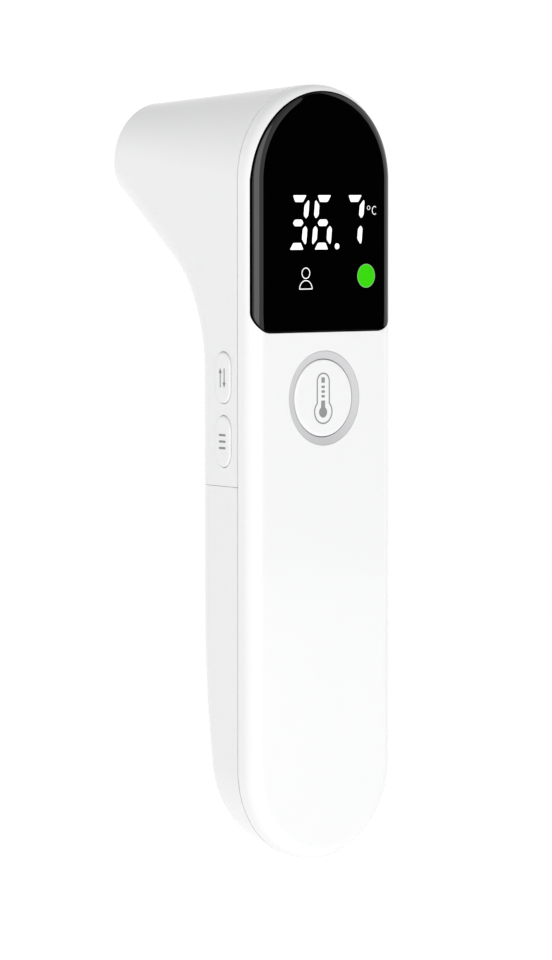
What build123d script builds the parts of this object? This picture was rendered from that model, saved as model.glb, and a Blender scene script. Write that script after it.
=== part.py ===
from build123d import *
from math import cos, radians, sin, tan
import os

os.makedirs("parts", exist_ok=True)

# Body: a flat front cover on a rear housing that runs out into a short horn at the top.
# X is the width, Y runs to the rear, Z is up. The parting plane is Y = 0, the handle end is Z = 0.
body_height = 156.0
half_width = 19.1
wall = 1.8
front_depth = 4.66
front_wall = 1.6
front_edge_radius = 2.9
back_depth = 17.7
back_edge_radius = 9.3
top_centre = body_height - half_width
low_centre = half_width

# Horn: straight run to the rear under a throat curve, ending in a round mouth that looks up a little.
horn_depth = 49.0
mouth_radius = 10.2
mouth_centre = (0, 49.1, 142.4)
mouth_tilt = 12.0
throat_start = 98.0
throat_radius = 25.0
throat_turn = 56.5
butt_bow_start = 51.0
butt_bow_radius = 180.0
butt_rise = 3.5
loft_depth = 60.0

# Display window: bent over the front edge of the cover.
window_half_width = 18.63
window_arch_height = 136.0
window_bottom = 106.4
window_corner = 4.2
window_thickness = 1.0
window_rim_depth = 2.55
window_gap = 0.05
aperture_half_width = 14.4
tape_thickness = 0.1
lip_height = 1.0
aperture_bottom = 112.6
status_point = (11.3, 117.5)

# Measuring button.
button_height = 93.15
ring_radius = 9.47
ring_inner_radius = 7.9
button_radius = 7.75
button_face = 4.45

# Side keys.
key_heights = (97.4, 84.65)
key_depth = 5.2
key_length = 10.3
key_width = 5.6
key_proud = 0.4
key_gap = 0.12
side_draft = (half_width - mouth_radius) / horn_depth

# Main board, carried on four posts of the front cover.
board_front = 2.0
board_thickness = 1.2
board_back = board_front + board_thickness
board_half_width = 15.2
board_bottom = 77.8
board_arch = 132.3
key_notch = 14.2

# Battery bay: two AAA cells side by side, one turned over, under a sliding cover.
cover_line = 75.7
cover_gap = 0.16
bulkhead_bottom = 76.1
tongue_depth = 14.45
tongue_width = 10.0
cell_radius = 5.25
cell_length = 44.5
nipple_length = 0.8
nipple_radius = 1.9
cell_offset = 5.75
cell_depth = 7.9
left_cell_bottom = 25.5
right_cell_bottom = 20.5
plate_thickness = 0.4
spring_length = 5.0
tray_front = 1.3
tray_floor = 2.6
tray_half_width = 12.0
tray_bottom = 18.6
tray_top = 71.8

# Sensor nose, measured inwards from the mouth along its tilted axis.
nose_ring_radius = 8.55
nose_ring_depth = 0.85
holder_seat_radius = 7.6
holder_end = 20.0
sensor_board_end = 21.0


def stadium(radius):
    with Locations((0, top_centre)):
        Circle(radius)
    with Locations((0, low_centre)):
        Circle(radius)
    make_hull()


def cover_form(inset, depth, edge_radius):
    with BuildPart() as form:
        with BuildSketch(Plane.XZ):
            stadium(half_width - inset)
        extrude(amount=depth)
        fillet(form.faces().sort_by(Axis.Y)[0].edges(), edge_radius)
    return form


def rear_form(inset, mouth_inset):
    depth_ratio = loft_depth / horn_depth
    far_radius = half_width - (half_width - mouth_radius) * depth_ratio - inset
    far_top = top_centre + (mouth_centre[2] - top_centre) * depth_ratio
    back = back_depth - inset
    with BuildPart() as form:
        with BuildSketch(Plane.XZ):
            stadium(half_width - inset)
        with BuildSketch(Plane.XZ.offset(-loft_depth)):
            with Locations((0, far_top)):
                Circle(far_radius)
            with Locations((0, low_centre + butt_rise * depth_ratio)):
                Circle(far_radius)
            make_hull()
        loft(ruled=True)
        with BuildSketch(Plane.YZ):
            with BuildLine():
                bow_radius = butt_bow_radius - inset
                bow = JernArc((back, butt_bow_start), (0, -1), bow_radius, -17)
                spine = Line((back, butt_bow_start), (back, throat_start))
                throat = JernArc(spine @ 1, (0, 1), throat_radius + inset, -throat_turn)
                underside = Line(throat @ 1, throat @ 1 + (throat % 1) * 50)
                far_end = underside @ 1
                low_end = bow @ 1
                Polyline(
                    (far_end.X, far_end.Y),
                    (far_end.X, body_height + 20),
                    (-1, body_height + 20),
                    (-1, low_end.Y),
                    (low_end.X, low_end.Y),
                )
            make_face()
        extrude(amount=half_width + 5, both=True, mode=Mode.INTERSECT)
        split(bisect_by=mouth_plane.offset(-mouth_inset), keep=Keep.BOTTOM)
        rear_faces = [
            face
            for face in form.faces()
            if abs(face.normal_at().X) < 0.001 and face.center().Y > 3
            and face.normal_at().Y > 0 and -0.93 < face.normal_at().Z < 0.1
        ]
        rear_edges = ShapeList()
        for edge in form.edges():
            shared = sum(1 for face in rear_faces for side in face.edges() if side.is_same(edge))
            if shared == 1 and (abs((edge @ 0.5).X) > 0.01 or (edge @ 0.5).Z < 40):
                rear_edges.append(edge)
        fillet(rear_edges, back_edge_radius - inset)
    return form


mouth_plane = Plane(
    origin=mouth_centre,
    x_dir=(1, 0, 0),
    z_dir=(0, cos(radians(mouth_tilt)), sin(radians(mouth_tilt))),
)

rear_outer = rear_form(0, 0)
rear_inner = rear_form(wall, 2.0)
cover_outer = cover_form(0, front_depth, front_edge_radius)
cover_under_window = cover_form(
    window_thickness,
    front_depth - window_thickness,
    front_edge_radius - window_thickness,
)


# Outline of the display window as seen from the front.
def window_outline(spread):
    with Locations((0, window_arch_height)):
        Circle(window_half_width + spread)
    with Locations((0, window_bottom - spread)):
        Rectangle(
            2 * (window_half_width + spread),
            window_arch_height - window_bottom + spread,
            align=(Align.CENTER, Align.MIN),
        )


with BuildPart() as window_prism:
    with BuildSketch(Plane.XZ.offset(window_rim_depth)):
        window_outline(0)
    extrude(amount=6)
    window_low = window_prism.edges().filter_by(Axis.Y).group_by(Axis.Z)[0]
    fillet(window_low, window_corner)

with BuildPart() as recess_prism:
    with BuildSketch(Plane.XZ.offset(window_rim_depth - window_gap)):
        window_outline(window_gap)
    extrude(amount=6)
    recess_low = recess_prism.edges().filter_by(Axis.Y).group_by(Axis.Z)[0]
    fillet(recess_low, window_corner + window_gap)

with BuildPart() as window_seat:
    add(recess_prism.part)
    add(cover_under_window.part, mode=Mode.SUBTRACT)

# Front cover: shallow tray with the window seat, the button hole, screw bosses and a locating lip.
cover_bosses = [(-12.2, 80.4), (12.2, 80.4), (-12.2, 109.6), (12.2, 109.6)]
ear_bosses = [(-14.2, 73.4), (14.2, 73.4)]
tray_bosses = [(0, 15.2), (0, 74.0)]
button_aperture_radius = ring_radius + 0.05

with BuildPart() as front_cover:
    add(cover_outer.part)
    with BuildSketch(Plane.XZ):
        stadium(half_width - wall)
    extrude(amount=front_depth - front_wall, mode=Mode.SUBTRACT)
    with BuildSketch(Plane.XZ.offset(front_depth - front_wall)):
        with Locations((0, window_arch_height)):
            Circle(half_width - wall)
        with Locations((0, window_bottom - 1)):
            Rectangle(
                2 * (half_width - wall),
                window_arch_height - window_bottom + 1,
                align=(Align.CENTER, Align.MIN),
            )
    extrude(amount=-0.9)
    add(window_seat.part, mode=Mode.SUBTRACT)
    with BuildSketch(Plane.XZ.offset(-1)):
        with Locations((0, window_arch_height)):
            Circle(aperture_half_width)
        with Locations((0, aperture_bottom)):
            Rectangle(
                2 * aperture_half_width,
                window_arch_height - aperture_bottom,
                align=(Align.CENTER, Align.MIN),
            )
    extrude(amount=8, mode=Mode.SUBTRACT)
    with BuildSketch(Plane.XZ):
        with Locations((0, button_height)):
            Circle(button_aperture_radius)
    extrude(amount=8, mode=Mode.SUBTRACT)
    with BuildSketch(Plane.XZ.offset(0.05)):
        stadium(half_width - wall + 0.2)
        offset(amount=-1.7, mode=Mode.SUBTRACT)
    extrude(amount=1.2)
    with BuildSketch(Plane.XZ.offset(-lip_height)):
        stadium(half_width - wall - 0.4)
        offset(amount=-0.9, mode=Mode.SUBTRACT)
    extrude(amount=lip_height + 0.5)
    with BuildSketch(Plane.XZ.offset(-board_front)):
        with Locations(*cover_bosses):
            Circle(1.9)
            Circle(0.85, mode=Mode.SUBTRACT)
    extrude(amount=board_front + front_depth - front_wall - 0.9)
    with BuildSketch(Plane.XZ.offset(-board_front)):
        with Locations(*cover_bosses[:2]):
            Circle(1.9)
            Circle(0.85, mode=Mode.SUBTRACT)
    extrude(amount=board_front + front_depth - front_wall)
    with BuildSketch(Plane.XZ.offset(-2.4)):
        with Locations(*ear_bosses):
            Circle(2.0)
            Circle(0.9, mode=Mode.SUBTRACT)
    extrude(amount=2.4 + front_depth - front_wall)
    with BuildSketch(Plane.XZ.offset(-tray_front)):
        with Locations(*tray_bosses):
            Circle(1.9)
            Circle(0.9, mode=Mode.SUBTRACT)
    extrude(amount=tray_front + front_depth - front_wall)
    with BuildSketch(Plane.XZ):
        with Locations((0, 24), (0, 36), (0, 48), (0, 60)):
            Rectangle(2 * (half_width - wall), 1.0)
    extrude(amount=front_depth - front_wall)
    with BuildSketch(Plane.XZ):
        with Locations((0, button_height)):
            Circle(12.6)
            Circle(11.7, mode=Mode.SUBTRACT)
    extrude(amount=front_depth - front_wall)

with BuildPart() as display_window:
    add(window_prism.part)
    add(cover_outer.part, mode=Mode.INTERSECT)
    add(cover_under_window.part, mode=Mode.SUBTRACT)
    with BuildSketch(Plane.XZ):
        stadium(half_width - front_edge_radius)
    extrude(amount=front_depth - window_thickness + tape_thickness, mode=Mode.SUBTRACT)

tape_depth = front_depth - window_thickness

with BuildPart() as window_tape:
    with BuildSketch(Plane.XZ.offset(tape_depth)):
        with Locations((0, window_arch_height)):
            Circle(half_width - front_edge_radius - 0.2)
        with Locations((0, window_bottom + 0.6)):
            Rectangle(
                2 * (half_width - front_edge_radius - 0.2),
                window_arch_height - window_bottom - 0.6,
                align=(Align.CENTER, Align.MIN),
            )
        with Locations((0, window_arch_height)):
            Circle(aperture_half_width + 0.2, mode=Mode.SUBTRACT)
        with Locations((0, aperture_bottom - 0.2)):
            Rectangle(
                2 * (aperture_half_width + 0.2),
                window_arch_height - aperture_bottom + 0.2,
                align=(Align.CENTER, Align.MIN),
                mode=Mode.SUBTRACT,
            )
    extrude(amount=tape_thickness)


key_points = [(key_depth, key_heights[0]), (key_depth, key_heights[1])]

with BuildPart() as bulkhead:
    with BuildSketch(Plane.XY.offset(bulkhead_bottom)):
        with Locations((0, 1.2)):
            Rectangle(2 * half_width, back_depth, align=(Align.CENTER, Align.MIN))
    extrude(amount=1.2)
    with BuildSketch(Plane.XZ.offset(-2.5)):
        with Locations((-14.2, 73.9), (14.2, 73.9)):
            SlotOverall(6.8, 4.0, rotation=90)
    extrude(amount=-1.6)
    with BuildSketch(Plane.XZ.offset(-2.0)):
        with Locations(*ear_bosses):
            Circle(1.15)
    extrude(amount=-4, mode=Mode.SUBTRACT)
    add(rear_inner.part, mode=Mode.INTERSECT)
    with BuildSketch(Plane.XZ.offset(-tongue_depth + 0.35)):
        with Locations((0, bulkhead_bottom)):
            Rectangle(tongue_width + 0.8, 6)
    extrude(amount=-6, mode=Mode.SUBTRACT)
    with BuildSketch(Plane.XZ):
        with Locations((0, bulkhead_bottom)):
            Rectangle(7, 6)
    extrude(amount=-6.0, mode=Mode.SUBTRACT)

# Rear housing above the cover line: horn, mouth wall, key holes, bulkhead and screw ears.
with BuildPart() as rear_shell:
    add(rear_outer.part)
    add(rear_inner.part, mode=Mode.SUBTRACT)
    split(bisect_by=Plane.XY.offset(cover_line), keep=Keep.TOP)
    with BuildSketch(mouth_plane.offset(0.1)):
        Circle(holder_seat_radius)
    extrude(amount=-3.0, mode=Mode.SUBTRACT)
    with BuildSketch(mouth_plane.offset(0.1)):
        Circle(nose_ring_radius + 0.05)
    extrude(amount=-0.1 - nose_ring_depth, mode=Mode.SUBTRACT)
    with BuildSketch(Plane.YZ.offset(-half_width)):
        with Locations(*key_points):
            SlotOverall(key_length + 2 * key_gap, key_width + 2 * key_gap, rotation=90)
    extrude(amount=5, mode=Mode.SUBTRACT)
    add(bulkhead.part)

# Battery cover: the rear wall of the handle, with slide rails, a tongue and thumb ribs.
with BuildPart() as battery_cover:
    add(rear_outer.part)
    add(rear_inner.part, mode=Mode.SUBTRACT)
    split(bisect_by=Plane.XY.offset(cover_line - cover_gap), keep=Keep.BOTTOM)
    with BuildSketch(Plane.XY.offset(28)):
        with Locations((-16.75, 1.7), (16.75, 1.7)):
            Rectangle(1.3, 0.8)
    extrude(amount=38)
    with BuildSketch(Plane.XY.offset(66)):
        with Locations((0, tongue_depth)):
            Rectangle(tongue_width, 1.7, align=(Align.CENTER, Align.MIN))
    extrude(amount=8.8)
    with BuildSketch(Plane.XY.offset(66)):
        with Locations((0, tongue_depth)):
            Rectangle(tongue_width, 1.1, align=(Align.CENTER, Align.MIN))
    extrude(amount=12.4)
    with BuildSketch(Plane.XZ.offset(-back_depth + 0.4)):
        with GridLocations(0, 2.4, 1, 5):
            with Locations((0, 62)):
                SlotOverall(13, 1.1)
    extrude(amount=-0.85)

# Measuring button with its bevelled ring and the switch under it.
button_level = Plane.XY.offset(button_height)
button_axis = Axis((0, 0, button_height), (0, 1, 0))

with BuildPart() as button_ring:
    with BuildSketch(button_level):
        with BuildLine():
            Polyline(
                (ring_inner_radius, -4.25),
                (ring_radius, -4.66),
                (ring_radius, -3.06),
                (10.9, -3.06),
                (10.9, -2.2),
                (ring_inner_radius, -2.2),
                close=True,
            )
        make_face()
    revolve(axis=button_axis)

with BuildPart() as measure_button:
    with BuildSketch(button_level):
        with BuildLine():
            Polyline(
                (0, -button_face),
                (button_radius - 0.35, -button_face),
                (button_radius, -button_face + 0.3),
                (button_radius, -2.05),
                (8.8, -2.05),
                (8.8, -1.35),
                (1.7, -1.35),
                (1.7, -0.95),
                (0, -0.95),
                close=True,
            )
        make_face()
    revolve(axis=button_axis)

with BuildPart() as measure_switch:
    with BuildSketch(Plane.XZ.offset(-board_front)):
        with Locations((0, button_height)):
            RectangleRounded(6, 6, 0.4)
    extrude(amount=board_front)
    with BuildSketch(Plane.XZ):
        with Locations((0, button_height)):
            Circle(1.68)
    extrude(amount=-1.0, mode=Mode.SUBTRACT)

with BuildPart() as measure_plunger:
    with BuildSketch(Plane.XZ.offset(0.9)):
        with Locations((0, button_height)):
            Circle(1.6)
    extrude(amount=-1.2)
    fillet(measure_plunger.faces().sort_by(Axis.Y)[0].edges(), 0.3)

# Side keys: obround caps whose faces follow the drafted side of the handle.
key_face = Plane(
    origin=(-half_width - key_proud, 0, 0),
    x_dir=(0, 0, 1),
    z_dir=(-1, side_draft, 0),
)


def side_key(height):
    with BuildPart() as key:
        with BuildSketch(Plane.YZ.offset(-half_width - 3)):
            with Locations((key_depth, height)):
                SlotOverall(key_length, key_width, rotation=90)
        extrude(amount=half_width + 3 - 15.0)
        split(bisect_by=key_face, keep=Keep.BOTTOM)
        chamfer(key.faces().sort_by(Axis.X)[0].edges(), 0.35)
        with BuildSketch(Plane.YZ.offset(-15.5)):
            with Locations((key_depth, height)):
                SlotOverall(key_length + 1.6, key_width + 1.2, rotation=90)
        extrude(amount=0.6)
        with BuildSketch(Plane.YZ.offset(-14.95)):
            with Locations((key_depth, height)):
                Circle(1.5)
        extrude(amount=0.4)
    return key


def side_switch(height):
    with BuildPart() as switch:
        with BuildSketch(Plane.YZ.offset(-13.6)):
            with Locations((board_back + 2.0, height)):
                Rectangle(4.0, 4.5)
        extrude(amount=3.6)
        with BuildSketch(Plane.YZ.offset(-13.6)):
            with Locations((key_depth, height)):
                Circle(1.08)
        extrude(amount=1.0, mode=Mode.SUBTRACT)
    return switch


def side_plunger(height):
    with BuildPart() as plunger:
        with BuildSketch(Plane.YZ.offset(-14.5)):
            with Locations((key_depth, height)):
                Circle(1.0)
        extrude(amount=1.4)
    return plunger


mode_button = side_key(key_heights[0])
memory_button = side_key(key_heights[1])
mode_switch = side_switch(key_heights[0])
memory_switch = side_switch(key_heights[1])
mode_plunger = side_plunger(key_heights[0])
memory_plunger = side_plunger(key_heights[1])

# Sensor nose: ring, holder, polished cup and the sealed thermopile, all turned about the mouth axis.
nose_section = Plane(
    origin=mouth_centre,
    x_dir=(1, 0, 0),
    z_dir=(0, sin(radians(mouth_tilt)), -cos(radians(mouth_tilt))),
)
nose_axis = Axis(mouth_centre, mouth_plane.z_dir)


def turned(*profile):
    with BuildPart() as piece:
        with BuildSketch(nose_section):
            with BuildLine():
                Polyline(*profile, close=True)
            make_face()
        revolve(axis=nose_axis)
    return piece


nose_ring = turned(
    (6.8, -0.3),
    (8.3, -0.3),
    (nose_ring_radius, -0.05),
    (nose_ring_radius, nose_ring_depth),
    (7.5, nose_ring_depth),
    (7.5, 3.6),
    (6.8, 3.6),
)
sensor_holder = turned(
    (6.2, 0.4),
    (6.7, 0.4),
    (6.7, 3.8),
    (7.6, 3.8),
    (7.6, 2.1),
    (8.1, 2.1),
    (8.1, 5.2),
    (6.7, 5.2),
    (6.7, holder_end),
    (4.75, holder_end),
    (4.75, 13.4),
    (3.2, 13.4),
    (3.2, 13.0),
    (6.2, 1.0),
)
sensor_cup = turned((6.15, 1.0), (3.15, 13.0), (2.7, 13.0), (5.7, 1.0))
thermopile_can = turned(
    (1.6, 13.45),
    (4.1, 13.45),
    (4.1, 17.4),
    (4.6, 17.4),
    (4.6, 17.9),
    (0, 17.9),
    (0, 17.5),
    (3.8, 17.5),
    (3.8, 13.75),
    (1.6, 13.75),
)
sensor_filter = turned((0, 13.75), (2.4, 13.75), (2.4, 14.2), (0, 14.2))

with BuildPart() as thermopile_chip:
    with BuildSketch(mouth_plane.offset(-17.5)):
        Rectangle(1.8, 1.8)
    extrude(amount=0.4)

with BuildPart() as thermopile_leads:
    with BuildSketch(mouth_plane.offset(-17.9)):
        with PolarLocations(2.54, 4, start_angle=45):
            Circle(0.23)
    extrude(amount=-3.6)

with BuildPart() as sensor_board:
    with BuildSketch(mouth_plane.offset(-holder_end)):
        Circle(6.4)
        with PolarLocations(2.54, 4, start_angle=45):
            Circle(0.26, mode=Mode.SUBTRACT)
    extrude(amount=holder_end - sensor_board_end)

# Four-wire lead from the sensor board down to its socket on the main board.
cable_start = mouth_plane.from_local_coords(Vector(0, 0, -sensor_board_end))
socket_height = 127.0
socket_back = board_back + 3.2

with BuildPart() as sensor_cable:
    with BuildLine() as cable_path:
        FilletPolyline(
            (0, cable_start.Y, cable_start.Z),
            (0, cable_start.Y - 7, cable_start.Z - 7 * tan(radians(mouth_tilt))),
            (0, 13, socket_height),
            (0, socket_back, socket_height),
            radius=3.5,
        )
    with BuildSketch(Plane(origin=cable_path.line @ 0, x_dir=(1, 0, 0), z_dir=cable_path.line % 0)):
        with GridLocations(1.1, 0, 4, 1):
            Circle(0.42)
    sweep(path=cable_path.line)

with BuildPart() as sensor_connector:
    with BuildSketch(Plane.XZ.offset(-board_back)):
        with Locations((0, socket_height)):
            Rectangle(7, 4.2)
    extrude(amount=-3.2)

# Main board and the parts soldered to it.
pin_grid = [(-8.89 + 2.54 * column, row) for column in range(8) for row in (115.2, 136.8)]

with BuildPart() as main_board:
    with BuildSketch(Plane.XZ.offset(-board_front)):
        with Locations((0, board_arch)):
            Circle(board_half_width)
        with Locations((0, board_bottom)):
            Rectangle(2 * board_half_width, board_arch - board_bottom, align=(Align.CENTER, Align.MIN))
        with Locations((-board_half_width, board_bottom)):
            Rectangle(
                2 * (board_half_width - key_notch),
                26.5,
                align=(Align.CENTER, Align.MIN),
                mode=Mode.SUBTRACT,
            )
        with Locations(*cover_bosses):
            Circle(1.0, mode=Mode.SUBTRACT)
        with Locations(*pin_grid):
            Circle(0.3, mode=Mode.SUBTRACT)
    extrude(amount=-board_thickness)

with BuildPart() as display_module:
    with BuildSketch(Plane.XZ.offset(3.3)):
        with Locations((0, 125.9)):
            Rectangle(28.0, 25.0)
        with Locations(status_point):
            Circle(2.3, mode=Mode.SUBTRACT)
    extrude(amount=-3.5)

with BuildPart() as display_mask:
    with BuildSketch(Plane.XZ.offset(3.3)):
        with Locations((0, 125.9)):
            Rectangle(28.0, 25.0)
        with Locations(status_point):
            Circle(2.3, mode=Mode.SUBTRACT)
    extrude(amount=0.2)

with BuildPart() as display_pins:
    with BuildSketch(Plane.XZ.offset(-0.2)):
        with Locations(*pin_grid):
            Circle(0.25)
    extrude(amount=-3.7)

with BuildPart() as status_lamp:
    with BuildSketch(Plane.XZ.offset(3.6)):
        with Locations(status_point):
            Circle(2.2)
    extrude(amount=-3.8)

with BuildPart() as status_led:
    with BuildSketch(Plane.XZ.offset(-board_front)):
        with Locations(status_point):
            Rectangle(3.2, 2.0)
    extrude(amount=1.2)

with BuildPart() as processor_chip:
    with BuildSketch(Plane.XZ.offset(-board_back)):
        with Locations((3, 108)):
            RectangleRounded(9, 9, 0.4)
    extrude(amount=-1.4)

with BuildPart() as memory_chip:
    with BuildSketch(Plane.XZ.offset(-board_back)):
        with Locations((-7, 120)):
            RectangleRounded(5, 4, 0.3)
    extrude(amount=-1.2)

with BuildPart() as crystal_can:
    with BuildSketch(Plane.XZ.offset(-board_back)):
        with Locations((11, 104.5)):
            SlotOverall(6.0, 2.4, rotation=90)
    extrude(amount=-1.9)

with BuildPart() as buzzer:
    with BuildSketch(Plane.XZ.offset(-board_back)):
        with Locations((4, 90)):
            Circle(6)
    extrude(amount=-4)
    with BuildSketch(Plane.XZ.offset(-board_back - 4)):
        with Locations((4, 90)):
            Circle(1.1)
    extrude(amount=1.2, mode=Mode.SUBTRACT)
    fillet(buzzer.faces().sort_by(Axis.Y)[-1].outer_wire().edges(), 0.5)

with BuildPart() as boost_coil:
    with BuildSketch(Plane.XZ.offset(-board_back)):
        with Locations((-6, 82.5)):
            RectangleRounded(5, 5, 1.2)
    extrude(amount=-2.6)

with BuildPart() as board_passives:
    with BuildSketch(Plane.XZ.offset(-board_back)):
        with Locations(
            (-3, 99.5), (-3, 102), (-3, 104.5), (-3, 107),
            (11, 98.8), (13, 98.8), (7, 120), (10, 120),
        ):
            Rectangle(1.6, 0.8)
        with Locations((7, 134), (9.2, 134), (-7, 134), (-9.2, 134)):
            Rectangle(0.8, 1.6)
    extrude(amount=-0.6)

with BuildPart() as board_screws:
    with BuildSketch(Plane.XZ.offset(-board_back)):
        with Locations(*cover_bosses):
            Circle(1.7)
    extrude(amount=-1.1)
    with BuildSketch(Plane.XZ.offset(-board_back)):
        with Locations(*cover_bosses):
            Circle(0.8)
    extrude(amount=4.1)
    with BuildSketch(Plane.XZ.offset(-board_back - 1.1)):
        with Locations(*cover_bosses):
            Rectangle(2.2, 0.45)
            Rectangle(0.45, 2.2)
    extrude(amount=0.6, mode=Mode.SUBTRACT)

with BuildPart() as housing_screws:
    with BuildSketch(Plane.XZ.offset(-4.1)):
        with Locations(*ear_bosses):
            Circle(1.8)
    extrude(amount=-1.2)
    with BuildSketch(Plane.XZ.offset(-4.1)):
        with Locations(*ear_bosses):
            Circle(0.85)
    extrude(amount=5.6)
    with BuildSketch(Plane.XZ.offset(-5.3)):
        with Locations(*ear_bosses):
            Rectangle(2.3, 0.5)
            Rectangle(0.5, 2.3)
    extrude(amount=0.7, mode=Mode.SUBTRACT)

# Battery bay.
tray_tab_back = tray_front + 1.2

with BuildPart() as battery_tray:
    with BuildSketch(Plane.XZ.offset(-tray_front)):
        with Locations((0, tray_bottom)):
            Rectangle(2 * tray_half_width, tray_top - tray_bottom, align=(Align.CENTER, Align.MIN))
    extrude(amount=-(cell_depth - tray_front))
    with BuildSketch(Plane.XZ.offset(-tray_floor)):
        with Locations((0, tray_bottom + 1.5)):
            Rectangle(
                2 * tray_half_width - 1.9,
                tray_top - tray_bottom - 2.9,
                align=(Align.CENTER, Align.MIN),
            )
    extrude(amount=-10, mode=Mode.SUBTRACT)
    with BuildSketch(Plane.XZ.offset(-tray_floor)):
        with Locations((0, (left_cell_bottom + right_cell_bottom + cell_length) / 2)):
            Rectangle(0.7, 34)
    extrude(amount=-2.2)
    with BuildSketch(Plane.XZ.offset(-2.5)):
        with Locations((0, 47)):
            Rectangle(32.7, 36)
            Rectangle(2 * tray_half_width - 0.5, 36, mode=Mode.SUBTRACT)
    extrude(amount=-0.8)
    with BuildSketch(Plane.XZ.offset(-tray_front)):
        with Locations((0, 16.0), (0, 73.4)):
            RectangleRounded(6.4, 5.8, 0.8)
    extrude(amount=-1.2)
    with BuildSketch(Plane.XZ):
        with Locations(*tray_bosses):
            Circle(1.1)
    extrude(amount=-4, mode=Mode.SUBTRACT)
    with BuildSketch(Plane.XY.offset(tray_top - 2)):
        with Locations((-cell_offset, 4.8), (cell_offset, 4.8)):
            Circle(0.8)
    extrude(amount=4, mode=Mode.SUBTRACT)

with BuildPart() as tray_screws:
    with BuildSketch(Plane.XZ.offset(-tray_tab_back)):
        with Locations(*tray_bosses):
            Circle(1.8)
    extrude(amount=-1.1)
    with BuildSketch(Plane.XZ.offset(-tray_tab_back)):
        with Locations(*tray_bosses):
            Circle(0.85)
    extrude(amount=4.2)
    with BuildSketch(Plane.XZ.offset(-tray_tab_back - 1.1)):
        with Locations(*tray_bosses):
            Rectangle(2.3, 0.5)
            Rectangle(0.5, 2.3)
    extrude(amount=0.6, mode=Mode.SUBTRACT)


def cell(side, body_base, nipple_base):
    with BuildPart() as battery:
        with BuildSketch(Plane.XY.offset(body_base)):
            with Locations((side, cell_depth)):
                Circle(cell_radius)
        extrude(amount=cell_length - nipple_length)
        fillet(battery.edges().filter_by(GeomType.CIRCLE), 0.4)
        with BuildSketch(Plane.XY.offset(nipple_base)):
            with Locations((side, cell_depth)):
                Circle(nipple_radius)
        extrude(amount=nipple_length)
    return battery


def coil(side, base):
    with BuildPart() as spring:
        with BuildLine() as coil_path:
            Helix(1.3, spring_length - 0.7, 2.6, center=(side, cell_depth, base + 0.35))
        with BuildSketch(Plane(origin=coil_path.line @ 0, z_dir=coil_path.line % 0)):
            Circle(0.3)
        sweep(path=coil_path.line)
    return spring


left_nipple = left_cell_bottom + cell_length - nipple_length
left_body = left_cell_bottom
right_body = right_cell_bottom + nipple_length
battery_left = cell(-cell_offset, left_body, left_nipple)
battery_right = cell(cell_offset, right_body, right_cell_bottom)
top_plate_base = left_cell_bottom + cell_length
left_coil = coil(-cell_offset, left_cell_bottom - spring_length)
right_coil = coil(cell_offset, right_cell_bottom + cell_length)

with BuildPart() as battery_springs:
    add(left_coil.part)
    add(right_coil.part)

with BuildPart() as contact_bridge:
    with BuildSketch(Plane.XY.offset(right_cell_bottom - plate_thickness)):
        with Locations((0, cell_depth - 0.9)):
            RectangleRounded(21, 7.6, 1.0)
    extrude(amount=plate_thickness)

with BuildPart() as contact_positive:
    with BuildSketch(Plane.XY.offset(top_plate_base)):
        with Locations((-cell_offset, cell_depth - 0.9)):
            RectangleRounded(8.6, 7.6, 1.0)
    extrude(amount=plate_thickness)

with BuildPart() as contact_negative:
    with BuildSketch(Plane.XY.offset(top_plate_base)):
        with Locations((cell_offset, cell_depth - 0.9)):
            RectangleRounded(8.6, 7.6, 1.0)
    extrude(amount=plate_thickness)


def battery_wire(side):
    lead_base = top_plate_base + plate_thickness
    with BuildPart() as wire:
        with BuildLine() as wire_path:
            FilletPolyline(
                (side * cell_offset, 4.8, lead_base),
                (side * cell_offset, 4.8, 73.0),
                (side * 2.0, 4.8, 75.3),
                (side * 2.0, 4.8, 80.6),
                (side * 2.0, board_back, 80.6),
                radius=1.1,
            )
        with BuildSketch(Plane(origin=wire_path.line @ 0, z_dir=wire_path.line % 0)):
            Circle(0.5)
        sweep(path=wire_path.line)
    return wire


positive_lead = battery_wire(-1)
negative_lead = battery_wire(1)

pieces = {
    "front_cover": front_cover,
    "rear_shell": rear_shell,
    "battery_cover": battery_cover,
    "display_window": display_window,
    "window_tape": window_tape,
    "button_ring": button_ring,
    "measure_button": measure_button,
    "measure_switch": measure_switch,
    "measure_plunger": measure_plunger,
    "mode_button": mode_button,
    "mode_switch": mode_switch,
    "mode_plunger": mode_plunger,
    "memory_button": memory_button,
    "memory_switch": memory_switch,
    "memory_plunger": memory_plunger,
    "nose_ring": nose_ring,
    "sensor_holder": sensor_holder,
    "sensor_cup": sensor_cup,
    "thermopile_can": thermopile_can,
    "thermopile_chip": thermopile_chip,
    "thermopile_leads": thermopile_leads,
    "sensor_filter": sensor_filter,
    "sensor_board": sensor_board,
    "sensor_cable": sensor_cable,
    "sensor_connector": sensor_connector,
    "main_board": main_board,
    "display_module": display_module,
    "display_mask": display_mask,
    "display_pins": display_pins,
    "status_lamp": status_lamp,
    "status_led": status_led,
    "processor_chip": processor_chip,
    "memory_chip": memory_chip,
    "crystal_can": crystal_can,
    "buzzer": buzzer,
    "boost_coil": boost_coil,
    "board_passives": board_passives,
    "board_screws": board_screws,
    "housing_screws": housing_screws,
    "battery_tray": battery_tray,
    "tray_screws": tray_screws,
    "battery_left": battery_left,
    "battery_right": battery_right,
    "battery_springs": battery_springs,
    "contact_bridge": contact_bridge,
    "contact_positive": contact_positive,
    "contact_negative": contact_negative,
    "positive_lead": positive_lead,
    "negative_lead": negative_lead,
}

for name, piece in pieces.items():
    piece.part.label = name
    export_step(piece.part, f"parts/{name}.step")
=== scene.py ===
import math

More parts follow.
